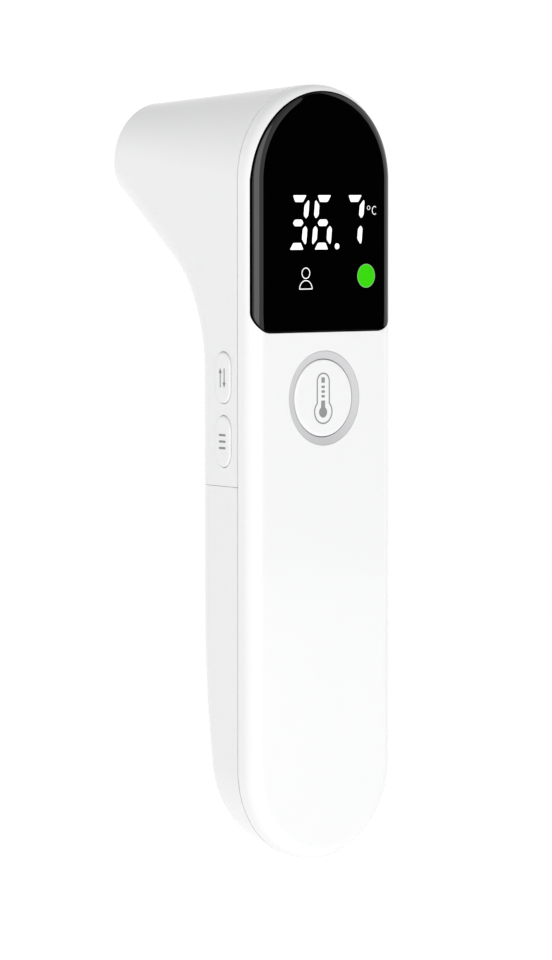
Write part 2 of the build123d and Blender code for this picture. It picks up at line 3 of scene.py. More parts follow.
import bmesh
import bpy
from bpy.props import FloatProperty, FloatVectorProperty, IntProperty, PointerProperty
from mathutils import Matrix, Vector


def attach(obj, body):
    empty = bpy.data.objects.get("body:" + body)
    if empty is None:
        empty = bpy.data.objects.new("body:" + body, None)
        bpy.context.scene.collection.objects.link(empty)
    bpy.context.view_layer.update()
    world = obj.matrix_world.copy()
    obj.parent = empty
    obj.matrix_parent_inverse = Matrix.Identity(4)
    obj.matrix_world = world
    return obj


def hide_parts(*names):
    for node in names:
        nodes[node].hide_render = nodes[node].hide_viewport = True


bl_info = {
    "name": "Forehead thermometer",
    "version": (1, 0, 0),
    "blender": (4, 5, 0),
    "location": "View3D > Sidebar > Thermometer",
    "description": "Builds a handheld infrared thermometer over its CAD frame",
    "category": "Object",
}

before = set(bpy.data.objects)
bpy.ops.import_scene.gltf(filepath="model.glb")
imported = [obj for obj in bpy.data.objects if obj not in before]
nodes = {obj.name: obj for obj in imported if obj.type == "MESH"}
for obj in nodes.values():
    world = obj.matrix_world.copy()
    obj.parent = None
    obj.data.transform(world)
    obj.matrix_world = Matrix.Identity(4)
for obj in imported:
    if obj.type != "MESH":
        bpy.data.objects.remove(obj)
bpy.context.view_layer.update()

MM = 0.001

# How far a side key's crown stands out of the side, in millimetres, and its mark's faces, in metres.
KEY_CROWN = 0.43
MARK_LOW = (KEY_CROWN - 0.01) * MM
MARK_HIGH = (KEY_CROWN + 0.03) * MM

# Place of the two screw ears under the seam, in millimetres.
EAR_ACROSS = 14.2
EAR_HEIGHT = 73.4

# Lift of the lit signs off the window and of the print off the button, in millimetres.
LIT_LOW = 0.015
LIT_HIGH = 0.045
PRINT_LOW = 0.005
PRINT_HIGH = 0.03


# ------------------------------------------------------------------ sizes


def length(name, description, default):
    return FloatProperty(name=name, description=description, default=default, unit="LENGTH", precision=5)


def segments(name, description, default, low, high):
    return IntProperty(name=name, description=description, default=default, min=low, max=high)


def colour(name, description, default):
    return FloatVectorProperty(
        name=name, description=description, default=default, subtype="COLOR", size=4, min=0, max=1
    )


class THERMO_PG_body(bpy.types.PropertyGroup):
    height: length("Height", "Overall height of the body", 0.156)
    half_width: length("Half width", "Half of the body's width at the parting line", 0.0191)
    wall: length("Wall", "Wall thickness of the mouldings", 0.0018)
    front_depth: length("Front depth", "Depth of the front cover ahead of the parting line", 0.00466)
    front_radius: length("Front edge radius", "Radius round the edge of the front face", 0.0029)
    floor_depth: length("Floor depth", "Depth of the front cover's inner floor", 0.00306)
    back_depth: length("Back depth", "Depth of the handle behind the parting line", 0.0177)
    back_radius: length("Back radius", "Radius along the back edges", 0.0093)
    mouth_radius: length("Mouth radius", "Radius of the horn at its mouth", 0.0102)
    mouth_depth: length("Mouth depth", "Distance of the mouth centre behind the parting line", 0.0491)
    mouth_height: length("Mouth height", "Height of the mouth centre", 0.1424)
    mouth_tilt: FloatProperty(
        name="Mouth tilt", description="Upward tilt of the mouth", default=math.radians(12), subtype="ANGLE"
    )
    cover_line: length("Cover line", "Height of the seam above the battery cover", 0.0757)
    cover_gap: length("Cover gap", "Width of the seam above the battery cover", 0.00008)
    groove: length("Parting groove", "Half the width of the fine groove along the parting line", 0.00019)
    groove_depth: length("Groove depth", "Depth of the fine groove along the parting line", 0.001)
    rim_round: length("Mouth rounding", "Radius round the rim of the mouth", 0.0009)
    white: colour("White", "Colour of the white mouldings", (0.835, 0.836, 0.84, 1))


class THERMO_PG_window(bpy.types.PropertyGroup):
    half_width: length("Half width", "Half of the window's width", 0.01863)
    arch_height: length("Arch height", "Height of the centre of the window's arch", 0.136)
    bottom: length("Bottom", "Height of the window's lower edge", 0.1064)
    corner: length("Corner radius", "Radius of the two lower corners", 0.0042)
    gap: length("Gap", "Gap round the window", 0.00005)
    figure_height: length("Figure height", "Height of the middle of the lit figures", 0.12831)
    sign_height: length("Sign height", "Height of the middle of the lit signs", 0.1172)
    sign_across: length("Sign place", "Distance of the head sign from the middle", -0.005)
    sign_size: length("Sign size", "Height of the head sign", 0.0042)
    black: colour("Black", "Colour of the window", (0.0004, 0.0004, 0.0004, 1))
    lit: colour("Lit", "Colour of the lit figures", (0.6, 0.6, 0.6, 1))
    lamp: colour("Lamp", "Colour of the status dot", (0.021, 0.325, 0.003, 1))


class THERMO_PG_controls(bpy.types.PropertyGroup):
    button_height: length("Button height", "Height of the measuring button's centre", 0.09315)
    ring_radius: length("Ring radius", "Outer radius of the bevelled ring", 0.00947)
    ring_inner: length("Ring inner radius", "Inner radius of the bevelled ring", 0.0079)
    button_radius: length("Button radius", "Radius of the measuring button", 0.00775)
    button_face: length("Button face", "Depth of the button's face ahead of the parting line", 0.00445)
    key_depth: length("Key depth", "Distance of the side keys behind the parting line", 0.0052)
    key_upper: length("Upper key", "Height of the upper side key", 0.0974)
    key_lower: length("Lower key", "Height of the lower side key", 0.08465)
    key_length: length("Key length", "Length of a side key", 0.0103)
    key_width: length("Key width", "Width of a side key", 0.0056)
    silver: colour("Silver", "Colour of the bevelled ring", (0.56, 0.56, 0.57, 1))
    print_grey: colour("Print", "Colour of the printed marks", (0.25, 0.25, 0.255, 1))


class THERMO_PG_quality(bpy.types.PropertyGroup):
    arc: segments("Arc segments", "Segments along a half-round end", 72, 12, 200)
    fillet: segments("Fillet segments", "Segments across a rounded edge", 14, 4, 40)


# ------------------------------------------------------------------ mesh helpers


def settings():
    return bpy.context.scene


def new_mesh():
    return bmesh.new()


def finish_piece(bm, name, materials, body, replaced=(), smooth=35.0):
    """Turns a finished bmesh into an object that rides on its body."""
    bmesh.ops.remove_doubles(bm, verts=bm.verts, dist=0.002 * MM)
    bmesh.ops.recalc_face_normals(bm, faces=bm.faces)
    mesh = bpy.data.meshes.new(name)
    bm.to_mesh(mesh)
    bm.free()
    obj = bpy.data.objects.new(name, mesh)
    settings().collection.objects.link(obj)
    for material in materials:
        mesh.materials.append(bpy.data.materials[material])
    mesh.shade_smooth()
    mesh.set_sharp_from_angle(angle=math.radians(smooth))
    weight = obj.modifiers.new("Even normals", "WEIGHTED_NORMAL")
    weight.keep_sharp = True
    weight.weight = 100
    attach(obj, body)
    if replaced:
        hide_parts(*replaced)
    return obj


def loop_of(bm, points):
    return [bm.verts.new(p) for p in points]


def skin(bm, rows, closed=False, material=0):
    """Faces between successive rows of vertices."""
    for low, high in zip(rows, rows[1:]):
        count = len(low)
        span = count if closed else count - 1
        for i in range(span):
            j = (i + 1) % count
            quad = []
            for vert in (low[i], low[j], high[j], high[i]):
                if vert not in quad:
                    quad.append(vert)
            if len(quad) > 2 and bm.faces.get(quad) is None:
                bm.faces.new(quad).material_index = material


def fill_flat(bm, loops, material=0):
    """Fills a flat region between an outer loop and its holes."""
    edges = []
    for loop in loops:
        for a, b in zip(loop, loop[1:] + loop[:1]):
            edge = bm.edges.get((a, b)) or bm.edges.new((a, b))
            edges.append(edge)
    made = bmesh.ops.triangle_fill(bm, edges=edges, use_beauty=True, use_dissolve=False)
    for item in made["geom"]:
        if isinstance(item, bmesh.types.BMFace):
            item.material_index = material


def turned(bm, profile, origin, axis, across, segments=96, material=0, closed=True):
    """A profile of (radius, distance along the axis) spun about the axis."""
    before = set(bm.faces)
    verts = loop_of(bm, [origin + axis * along + across * radius for radius, along in profile])
    edges = [bm.edges.new(pair) for pair in zip(verts, verts[1:])]
    if closed and profile[0][0] > 1e-9:
        edges.append(bm.edges.new((verts[-1], verts[0])))
    bmesh.ops.spin(
        bm, geom=verts + edges, cent=origin, axis=axis, angle=2 * math.pi, steps=segments, use_merge=True
    )
    for face in bm.faces:
        if face not in before:
            face.material_index = material


def rounded(points, radius, steps=4):
    """A closed outline with each corner rounded."""
    out = []
    count = len(points)
    for i in range(count):
        a = Vector(points[i - 1])
        b = Vector(points[i])
        c = Vector(points[(i + 1) % count])
        before = (a - b).normalized()
        after = (c - b).normalized()
        r = min(radius, (a - b).length * 0.45, (c - b).length * 0.45)
        start = b + before * r
        end = b + after * r
        for k in range(steps + 1):
            t = k / steps
            out.append(tuple(start * (1 - t) ** 2 + b * 2 * t * (1 - t) + end * t**2))
    return out


def slab(bm, outline, place, low, high, material=0, bevel=0.0):
    """An outline extruded between two heights. place maps (x, y, height) to space."""
    base = bm.faces.new(loop_of(bm, [place(x, y, low) for x, y in outline]))
    base.material_index = material
    made = bmesh.ops.extrude_face_region(bm, geom=[base])["geom"]
    verts = [item for item in made if isinstance(item, bmesh.types.BMVert)]
    caps = [item for item in made if isinstance(item, bmesh.types.BMFace)]
    bmesh.ops.translate(bm, verts=verts, vec=place(0, 0, high) - place(0, 0, low))
    if bevel:
        edges = [edge for face in caps for edge in face.edges]
        bmesh.ops.bevel(
            bm,
            geom=edges,
            offset=bevel,
            segments=3,
            profile=0.5,
            affect="EDGES",
            material=-1,
            clamp_overlap=True,
        )


def slot_outline(length_, width, arc=20):
    """An obround standing upright, centred on the origin."""
    half = (length_ - width) / 2
    radius = width / 2
    points = []
    for k in range(arc + 1):
        turn = math.pi * k / arc
        points.append((radius * math.cos(turn), half + radius * math.sin(turn)))
    for k in range(arc + 1):
        turn = math.pi + math.pi * k / arc
        points.append((radius * math.cos(turn), -half + radius * math.sin(turn)))
    return points


# ------------------------------------------------------------------ the body's form


BOW_RADIUS = 0.180
BOW_START = 0.051
THROAT_RADIUS = 0.025
THROAT_START = 0.098
THROAT_TURN = math.radians(56.5)
BUTT_RISE = 0.0035
HORN_RUN = 0.049


def taper():
    """Sine and cosine of the angle by which the sides lean in towards the rear."""
    body = settings().thermo_body
    lean = math.atan((body.half_width - body.mouth_radius) / HORN_RUN)
    return math.sin(lean), math.cos(lean)


def outline_point(turn, inset, low=False):
    """A point of the parting outline on its upper or lower half-round."""
    body = settings().thermo_body
    centre = body.half_width if low else body.height - body.half_width
    radius = body.half_width - inset
    return Vector((radius * math.cos(turn), 0, centre + radius * math.sin(turn)))


def ruling(turn, inset, low=False):
    """Start and direction of the straight line that the side follows to the rear."""
    body = settings().thermo_body
    slope = (body.half_width - body.mouth_radius) / HORN_RUN
    if low:
        rise = BUTT_RISE / HORN_RUN
    else:
        rise = (body.mouth_height - (body.height - body.half_width)) / HORN_RUN
    start = outline_point(turn, inset, low)
    return start, Vector((-slope * math.cos(turn), 1, rise - slope * math.sin(turn)))


def side_normal(turn, low=False):
    run = ruling(turn, 0, low)[1]
    back = -(math.cos(turn) * run.x + math.sin(turn) * run.z)
    return Vector((math.cos(turn), back, math.sin(turn))).normalized()


def back_line(height, offset):
    """Depth and outward normal of the handle's back, offset inwards, at a height below the throat."""
    body = settings().thermo_body
    if height >= BOW_START:
        return body.back_depth - offset, Vector((0, 1, 0))
    radius = BOW_RADIUS - offset
    lean = math.asin((height - BOW_START) / radius)
    depth = body.back_depth - BOW_RADIUS + radius * math.cos(lean)
    return depth, Vector((0, math.cos(lean), math.sin(lean)))


def between(a, b, t):
    """Turns unit vector a towards b by the share t."""
    angle = a.angle(b)
    if angle < 1e-6:
        return a.copy()
    return (a * math.sin((1 - t) * angle) + b * math.sin(t * angle)) / math.sin(angle)


def butt_row(turn, inset, steps):
    """One ruling of the rounded butt, from the parting line round the edge to the middle of the back."""
    body = settings().thermo_body
    start, run = ruling(turn, inset, True)
    normal = side_normal(turn, True)
    radius = body.back_radius - inset
    low, high = 0.0, 0.03
    for _ in range(50):
        middle = (low + high) / 2
        centre = start + run * middle - normal * radius
        if centre.y < back_line(centre.z, body.back_radius)[0]:
            low = middle
        else:
            high = middle
    centre = start + run * low - normal * radius
    back_normal = back_line(centre.z, body.back_radius)[1]
    groove = body.groove if inset == 0 else 0.0
    sunk = body.groove_depth if inset == 0 else 0.0
    row = [start - Vector((normal.x, 0, normal.z)) * sunk, start + run * groove, start + run * (low * 0.5)]
    for k in range(steps + 1):
        row.append(centre + between(normal, back_normal, k / steps) * radius)
    row.append(Vector((0, row[-1].y, row[-1].z)))
    return row


def handle_row(height, front_height, inset, steps):
    """The same for a level of the straight handle, where the side is flat."""
    body = settings().thermo_body
    lean_sin, lean_cos = taper()
    radius = body.back_radius - inset
    depth, back_normal = back_line(height, body.back_radius)
    normal = Vector((lean_cos, lean_sin, 0))
    across = ((body.half_width - inset) * lean_cos - radius - depth * lean_sin) / lean_cos
    centre = Vector((across, depth, height))
    arc = [centre + between(normal, back_normal, k / steps) * radius for k in range(steps + 1)]
    groove = body.groove if inset == 0 else 0.0
    front = Vector((body.half_width - inset, 0, front_height))
    lip = front + Vector((-groove * lean_sin / lean_cos, groove, 0))
    row = [front - Vector((body.groove_depth if inset == 0 else 0.0, 0, 0)), lip, (lip + arc[0]) / 2]
    return row + arc + [Vector((0, arc[-1].y, arc[-1].z))]


def throat_arc(turn, inset, steps):
    """The rounded edge and the centre of the back at one place of the throat under the horn."""
    body = settings().thermo_body
    lean_sin, lean_cos = taper()
    radius = body.back_radius - inset
    reach = THROAT_RADIUS + body.back_radius
    depth = body.back_depth + THROAT_RADIUS - reach * math.cos(turn)
    height = THROAT_START + reach * math.sin(turn)
    normal = Vector((lean_cos, lean_sin, 0))
    back_normal = Vector((0, math.cos(turn), -math.sin(turn)))
    across = ((body.half_width - inset) * lean_cos - radius - depth * lean_sin) / lean_cos
    centre = Vector((across, depth, height))
    arc = [centre + between(normal, back_normal, k / steps) * radius for k in range(steps + 1)]
    return arc + [Vector((0, arc[-1].y, arc[-1].z))]


def mouth_frame():
    """Centre of the mouth and its outward, sideways and upward directions."""
    body = settings().thermo_body
    centre = Vector((0, body.mouth_depth, body.mouth_height))
    out = Vector((0, math.cos(body.mouth_tilt), math.sin(body.mouth_tilt)))
    return centre, out, Vector((1, 0, 0)), Vector((0, -math.sin(body.mouth_tilt), math.cos(body.mouth_tilt)))


def to_mouth(point, run, depth_in):
    """Where a line meets the mouth plane, or a plane that far inside it."""
    centre, out = mouth_frame()[:2]
    share = (centre - out * depth_in - point).dot(out) / run.dot(out)
    return point + run * share


def flip(points):
    return [Vector((-p.x, p.y, p.z)) for p in points]


def cover_rows(inset, top, steps):
    """Half of the battery cover's skin, from the lowest point of the butt up to a level."""
    quality = settings().thermo_quality
    rows = []
    half_arc = quality.arc // 2
    for k in range(half_arc + 1):
        rows.append(butt_row(-math.pi / 2 + math.pi / 2 * k / half_arc, inset, steps))
    first = rows[-1][3].z
    front = rows[-1][0].z
    count = 14
    for k in range(1, count + 1):
        share = k / count
        height = first + (top - first) * share
        rows.append(handle_row(height, front + (top - front) * share, inset, steps))
    return rows


def shell_parts(inset, bottom, mouth_inset, steps):
    """Half of the horn housing: the edge and back rows, the top rows and the flat side's outline."""
    body = settings().thermo_body
    quality = settings().thermo_quality
    edge_rows = []
    handle_count = 6
    for k in range(handle_count + 1):
        height = bottom + (THROAT_START - bottom) * k / handle_count
        edge_rows.append(handle_row(height, height, inset, steps)[3:])
    throat_count = 26
    for k in range(1, throat_count + 1):
        edge_rows.append(throat_arc(THROAT_TURN * k / throat_count, inset, steps))
    lean_sin, lean_cos = taper()
    back = math.sin(THROAT_TURN)
    run = Vector((-back * lean_sin / lean_cos, back, math.cos(THROAT_TURN)))
    last = edge_rows[-1]
    ends = [to_mouth(p, run, mouth_inset) for p in last[:-1]]
    ends.append(to_mouth(last[-1], Vector((0, run.y, run.z)), mouth_inset))
    ends[-1] = Vector((0, ends[-2].y, ends[-2].z))
    under_count = 6
    for k in range(1, under_count + 1):
        edge_rows.append([a.lerp(b, k / under_count) for a, b in zip(last, ends)])
    top_rows = []
    half_arc = quality.arc // 2
    top_count = 8
    groove = body.groove if inset == 0 else 0.0
    for j in range(top_count + 1):
        row = []
        for k in range(half_arc + 1):
            start, line = ruling(math.pi / 2 * k / half_arc, inset)
            row.append((start + line * groove).lerp(to_mouth(start, line, mouth_inset), j / top_count))
        top_rows.append(row)
    top_centre = body.height - body.half_width
    front_count = 24
    across = body.half_width - inset - groove * lean_sin / lean_cos
    front = []
    for k in range(front_count):
        front.append(Vector((across, groove, bottom + (top_centre - bottom) * k / front_count)))
    return edge_rows, top_rows, front


def build_cover(bm):
    """The battery cover: outer and inner skins joined along the parting line and the seam."""
    body = settings().thermo_body
    quality = settings().thermo_quality
    top = body.cover_line - body.cover_gap
    for sign in (1, -1):
        skins = []
        for inset in (0.0, body.wall):
            rows = cover_rows(inset, top, quality.fillet)
            if sign < 0:
                rows = [flip(row) for row in rows]
            made = [loop_of(bm, row) for row in rows]
            skin(bm, made)
            skins.append(made)
        outer, inner = skins
        skin(bm, [[row[0] for row in outer], [row[0] for row in inner]])
        skin(bm, [outer[-1], inner[-1]])
    rail_bottom = 28 * MM
    rail_top = 66 * MM
    for side in (-1, 1):
        rail = [(side * 16.1, 1.3), (side * 17.4, 1.3), (side * 17.4, 2.1), (side * 16.1, 2.1)]
        slab(bm, rail, level_place, rail_bottom, rail_top)
    root = [(-5, 14.45), (5, 14.45), (5, 16.15), (-5, 16.15)]
    root_top = 74.8 * MM
    slab(bm, root, level_place, rail_top, root_top)
    tongue = [(-4.99, 14.44), (4.99, 14.44), (4.99, 15.55), (-4.99, 15.55)]
    tongue_top = 78.4 * MM
    slab(bm, tongue, level_place, rail_top, tongue_top, bevel=0.3 * MM)
    rib_middle = 62
    rib_pitch = 2.4
    rib_length = 13 * MM
    rib_width = 1.1 * MM
    for k in range(5):
        height = rib_middle + rib_pitch * (k - 2)
        rows = []
        for inset, depth in ((0, 17.3), (0, 17.8), (0.08, 17.98), (0.22, 18.1), (0.4, 18.15)):
            trim = 2 * inset * MM
            outline = slot_outline(rib_length - trim, rib_width - trim, 10)
            rows.append(loop_of(bm, [Vector((y, depth * MM, height * MM + x)) for x, y in outline]))
        skin(bm, rows, closed=True)
        fill_flat(bm, [rows[-1]])
        fill_flat(bm, [rows[0]])


def level_place(x, y, height):
    """Places an outline given in millimetres on a level plane."""
    return Vector((x * MM, y * MM, height))


def key_hole(height, level, gap=0.0):
    """Outline of a side key's hole on the left flat side at one inset level."""
    body = settings().thermo_body
    controls = settings().thermo_controls
    lean_sin, lean_cos = taper()
    points = []
    for x, y in slot_outline(controls.key_length + 2 * gap, controls.key_width + 2 * gap):
        depth = controls.key_depth + x
        across = body.half_width - level - depth * lean_sin / lean_cos
        points.append(Vector((-across, depth, height + y)))
    return points


def build_shell(bm):
    """The horn housing with its key holes, mouth wall, bulkhead and screw ears."""
    body = settings().thermo_body
    controls = settings().thermo_controls
    quality = settings().thermo_quality
    bottom = body.cover_line
    halves = {}
    for sign in (1, -1):
        skins = []
        for inset, mouth_inset in ((0.0, body.rim_round), (body.wall, 2.0 * MM)):
            edge_rows, top_rows, front = shell_parts(inset, bottom, mouth_inset, quality.fillet)
            if sign < 0:
                edge_rows = [flip(row) for row in edge_rows]
                top_rows = [flip(row) for row in top_rows]
                front = flip(front)
            edges = [loop_of(bm, row) for row in edge_rows]
            tops = [loop_of(bm, row) for row in top_rows]
            fronts = loop_of(bm, front) + [tops[0][0]]
            skin(bm, edges)
            skin(bm, tops)
            outline = fronts + [row[0] for row in tops][1:] + [row[0] for row in edges][::-1]
            holes = []
            if sign < 0:
                for height in (controls.key_upper, controls.key_lower):
                    holes.append(loop_of(bm, key_hole(height, inset, 0.12 * MM)))
            fill_flat(bm, [outline] + holes)
            skins.append((edges, tops, fronts, holes))
            halves[(sign, inset > 0)] = edges[-1][::-1] + tops[-1]
        (edges, tops, fronts, holes), (edges_in, tops_in, fronts_in, holes_in) = skins
        rim = fronts + tops[0][1:]
        rim_in = fronts_in + tops_in[0][1:]
        step = []
        for vert in rim:
            anchor = Vector((0, 0, min(vert.co.z, body.height - body.half_width)))
            away = Vector((vert.co.x, 0, vert.co.z)) - anchor
            step.append(anchor + away * (1 - body.groove_depth / away.length))
        step_row = loop_of(bm, step)
        skin(bm, [rim, step_row, rim_in])
        bm.faces.new((fronts[0], step_row[0], fronts_in[0]))
        skin(bm, [[fronts[0]] + edges[0], [fronts_in[0]] + edges_in[0]])
        for hole, hole_in in zip(holes, holes_in):
            skin(bm, [hole, hole_in], closed=True)
    outer = halves[(1, False)] + halves[(-1, False)][::-1]
    inner = halves[(1, True)] + halves[(-1, True)][::-1]
    build_mouth(bm, outer, inner)
    build_bulkhead(bm)


def build_mouth(bm, outer, inner):
    """Rounded rim, ring seat and sensor hole at the end of the horn."""
    body = settings().thermo_body
    centre, out = mouth_frame()[:2]

    def ring(shrink, depth, radius=None):
        points = []
        for vert in outer:
            away = vert.co - centre
            away -= out * away.dot(out)
            reach = radius if radius else away.length - shrink
            points.append(centre - out * depth + away.normalized() * reach)
        return loop_of(bm, points)

    rows = [outer]
    for k in range(1, 9):
        turn = math.pi / 2 * k / 8
        rows.append(ring(body.rim_round * (1 - math.cos(turn)), body.rim_round * (1 - math.sin(turn))))
    seat = 8.6 * MM
    seat_depth = 0.85 * MM
    chamfer = 0.12 * MM
    bore = 7.6 * MM
    rows.append(ring(0, 0.0, seat + chamfer))
    rows.append(ring(0, chamfer, seat))
    rows.append(ring(0, seat_depth, seat))
    rows.append(ring(0, seat_depth, bore))
    rows.append(ring(0, 2.0 * MM, bore))
    rows.append(inner)
    skin(bm, rows, closed=True)


def build_bulkhead(bm):
    """The wall between the electronics and the cells, with the two screw ears under it."""
    body = settings().thermo_body
    quality = settings().thermo_quality
    bottom = 76.1 * MM
    top = 77.3 * MM
    middle = 76.7 * MM
    latch_slot = 5.4 * MM
    front_slot = 3.5 * MM
    front = 1.2 * MM
    row = handle_row(middle, middle, body.wall, quality.fillet)
    side = [(p.x, p.y) for p in row if p.x > latch_slot]
    half = [(front_slot, 6.0 * MM), (front_slot, front), (side[0][0], front)] + side[2:]
    half += [(latch_slot, side[-1][1] + 0.05 * MM), (latch_slot, 14.1 * MM)]
    outline = half + [(-x, y) for x, y in reversed(half)]
    slab(bm, outline, lambda x, y, high: Vector((x, y, high)), bottom, top)
    ear = slot_outline(6.8 * MM, 4.0 * MM, 16)
    ear_middle = (EAR_HEIGHT + 0.5) * MM
    drill = circle(1.15 * MM, 32)
    drill_middle = EAR_HEIGHT * MM
    for sign in (1, -1):
        across = sign * EAR_ACROSS * MM
        loops = []
        for depth in (2.5 * MM, 4.1 * MM):
            edge = loop_of(bm, [Vector((across + x, depth, ear_middle + y)) for x, y in ear])
            hole = loop_of(bm, [Vector((across + x, depth, drill_middle + y)) for x, y in drill])
            fill_flat(bm, [edge, hole])
            loops.append((edge, hole))
        skin(bm, [loops[0][0], loops[1][0]], closed=True)
        skin(bm, [loops[0][1], loops[1][1]], closed=True)


def surface_depth(x, z):
    """Depth of the front cover's outer surface at a place seen from the front."""
    body = settings().thermo_body
    top = body.height - body.half_width
    start = body.half_width - body.front_radius
    reach = math.hypot(x, max(z - top, 0.0, body.half_width - z))
    if reach <= start:
        return -body.front_depth
    rest = max(body.front_radius**2 - (reach - start) ** 2, 0.0)
    return -(body.front_depth - body.front_radius) - math.sqrt(rest)


def window_outline(spread, side_count=10, corner_count=10):
    """The window's outline, clockwise from the middle of its lower edge, larger by spread."""
    window = settings().thermo_window
    quality = settings().thermo_quality
    reach = window.half_width + spread
    corner = max(window.corner + spread, 0.4 * MM)
    low = window.bottom - spread
    points = []
    for k in range(1, 7):
        points.append(((reach - corner) * k / 7, low))
    for k in range(corner_count + 1):
        turn = -math.pi / 2 + math.pi / 2 * k / corner_count
        points.append((reach - corner + corner * math.cos(turn), low + corner + corner * math.sin(turn)))
    for k in range(1, side_count):
        points.append((reach, low + corner + (window.arch_height - low - corner) * k / side_count))
    for k in range(quality.arc + 1):
        turn = math.pi * k / quality.arc
        points.append((reach * math.cos(turn), window.arch_height + reach * math.sin(turn)))
    count = 6 + corner_count + 1 + side_count - 1
    left = [(-x, z) for x, z in reversed(points[:count])]
    return [(0.0, low)] + points + left


def edge_rows(steps):
    """Right half of the front cover's side and rounded edge, from the butt's middle to the top's."""
    body = settings().thermo_body
    window = settings().thermo_window
    quality = settings().thermo_quality
    start = body.half_width - body.front_radius
    flat = body.front_depth - body.front_radius
    top = body.height - body.half_width
    reach = window.half_width + window.gap
    corner = window.corner + window.gap
    corner_top = window.bottom + window.corner
    half_arc = quality.arc // 2
    crossing_turn = math.acos((start - reach + corner) / corner)
    stations = []
    for k in range(half_arc + 1):
        turn = -math.pi / 2 + math.pi / 2 * k / half_arc
        stations.append((body.half_width, turn, math.pi / 2))
    crossing = corner_top - corner * math.sin(crossing_turn)
    for k in range(1, 17):
        stations.append((body.half_width + (crossing - body.half_width) * k / 16, 0.0, math.pi / 2))
    for k in range(1, 13):
        turn = crossing_turn * (1 - k / 12)
        across = reach - corner + corner * math.cos(turn)
        stations.append((corner_top - corner * math.sin(turn), 0.0, wrap_limit(across)))
    for k in range(1, 7):
        stations.append((corner_top + (top - corner_top) * k / 6, 0.0, wrap_limit(reach)))
    for k in range(1, half_arc + 1):
        turn = math.pi / 2 * k / half_arc
        drop = top - window.arch_height
        across = math.sqrt(reach**2 - (drop * math.cos(turn)) ** 2) - drop * math.sin(turn)
        stations.append((top, turn, wrap_limit(across)))
    rows = []
    for height, turn, limit in stations:
        centre = Vector((0, 0, height))
        direction = Vector((math.cos(turn), 0, math.sin(turn)))
        groove = body.groove
        row = [
            centre + direction * (body.half_width - body.groove_depth),
            centre + direction * body.half_width - Vector((0, groove, 0)),
            centre + direction * body.half_width - Vector((0, flat, 0)),
        ]
        for k in range(1, steps + 1):
            angle = limit * k / steps
            out = start + body.front_radius * math.cos(angle)
            row.append(centre + direction * out - Vector((0, flat + body.front_radius * math.sin(angle), 0)))
        rows.append(row)
    return rows, half_arc + 17


def wrap_limit(reach):
    """Angle over the rounded edge, from the side wall, at which the surface reaches that half width."""
    body = settings().thermo_body
    start = body.half_width - body.front_radius
    return math.acos(min(max((reach - start) / body.front_radius, 0.0), 1.0))


def build_front(bm):
    """The front cover: outer skin with the window seat and button hole, and the hollow behind it."""
    body = settings().thermo_body
    window = settings().thermo_window
    controls = settings().thermo_controls
    quality = settings().thermo_quality
    start = body.half_width - body.front_radius
    rows, crossing = edge_rows(quality.fillet)
    sides = []
    for sign in (1, -1):
        placed = rows if sign > 0 else [flip(row) for row in rows]
        made = [loop_of(bm, row) for row in placed]
        skin(bm, made)
        sides.append(made)
    right, left = sides
    corner = window.corner + window.gap
    middle = window.half_width + window.gap - corner
    corner_top = window.bottom + window.corner
    first_turn = math.acos((start - middle) / corner)
    arc = []
    for k in range(1, 9):
        turn = first_turn + (math.pi / 2 - first_turn) * k / 8
        arc.append((middle + corner * math.cos(turn), corner_top - corner * math.sin(turn)))
    face = -body.front_depth
    corner_right = loop_of(bm, [Vector((x, face, z)) for x, z in arc])
    corner_left = loop_of(bm, [Vector((-x, face, z)) for x, z in arc])
    bottom_right = [row[-1] for row in right[:crossing]]
    bottom_left = [row[-1] for row in left[1:crossing]]
    outline = bottom_right + corner_right + corner_left[::-1] + bottom_left[::-1]
    button = []
    for k in range(96):
        turn = 2 * math.pi * k / 96
        out = controls.ring_radius + window.gap
        button.append(Vector((out * math.cos(turn), face, controls.button_height + out * math.sin(turn))))
    button_loop = loop_of(bm, button)
    fill_flat(bm, [outline, button_loop])
    seat = (
        corner_right[::-1]
        + [row[-1] for row in right[crossing - 1 :]]
        + [row[-1] for row in left[crossing - 1 : -1]][::-1]
        + corner_left
    )
    shelf = loop_of(bm, [Vector((v.co.x, v.co.y + 0.9 * MM, v.co.z)) for v in seat])
    share = 0.78
    ledge_depth = 3.3 * MM
    ledge_middle = 130 * MM
    ledge = []
    for vert in seat:
        level = ledge_middle + (vert.co.z - ledge_middle) * share
        ledge.append(Vector((vert.co.x * share, -ledge_depth, level)))
    ledge = loop_of(bm, ledge)
    inner_ledge = loop_of(bm, [Vector((v.co.x, -body.floor_depth, v.co.z)) for v in ledge])
    skin(bm, [seat, shelf, ledge, inner_ledge], closed=True)
    button_in = loop_of(bm, [Vector((p.x, -body.floor_depth, p.z)) for p in button])
    skin(bm, [button_loop, button_in], closed=True)
    shrink = body.half_width - body.wall
    rim = [row[0] for row in right] + [row[0] for row in left[1:-1]][::-1]
    top = body.height - body.half_width
    inner = []
    for vert in rim:
        anchor = Vector((0, 0, min(max(vert.co.z, body.half_width), top)))
        inner.append(anchor + (vert.co - anchor).normalized() * shrink)
    inner_rim = loop_of(bm, inner)
    inner_floor = loop_of(bm, [p - Vector((0, body.floor_depth, 0)) for p in inner])
    skin(bm, [rim, inner_rim, inner_floor], closed=True)
    fill_flat(bm, [inner_floor, inner_ledge, button_in])
    build_lip(bm, rim)
    build_posts(bm)


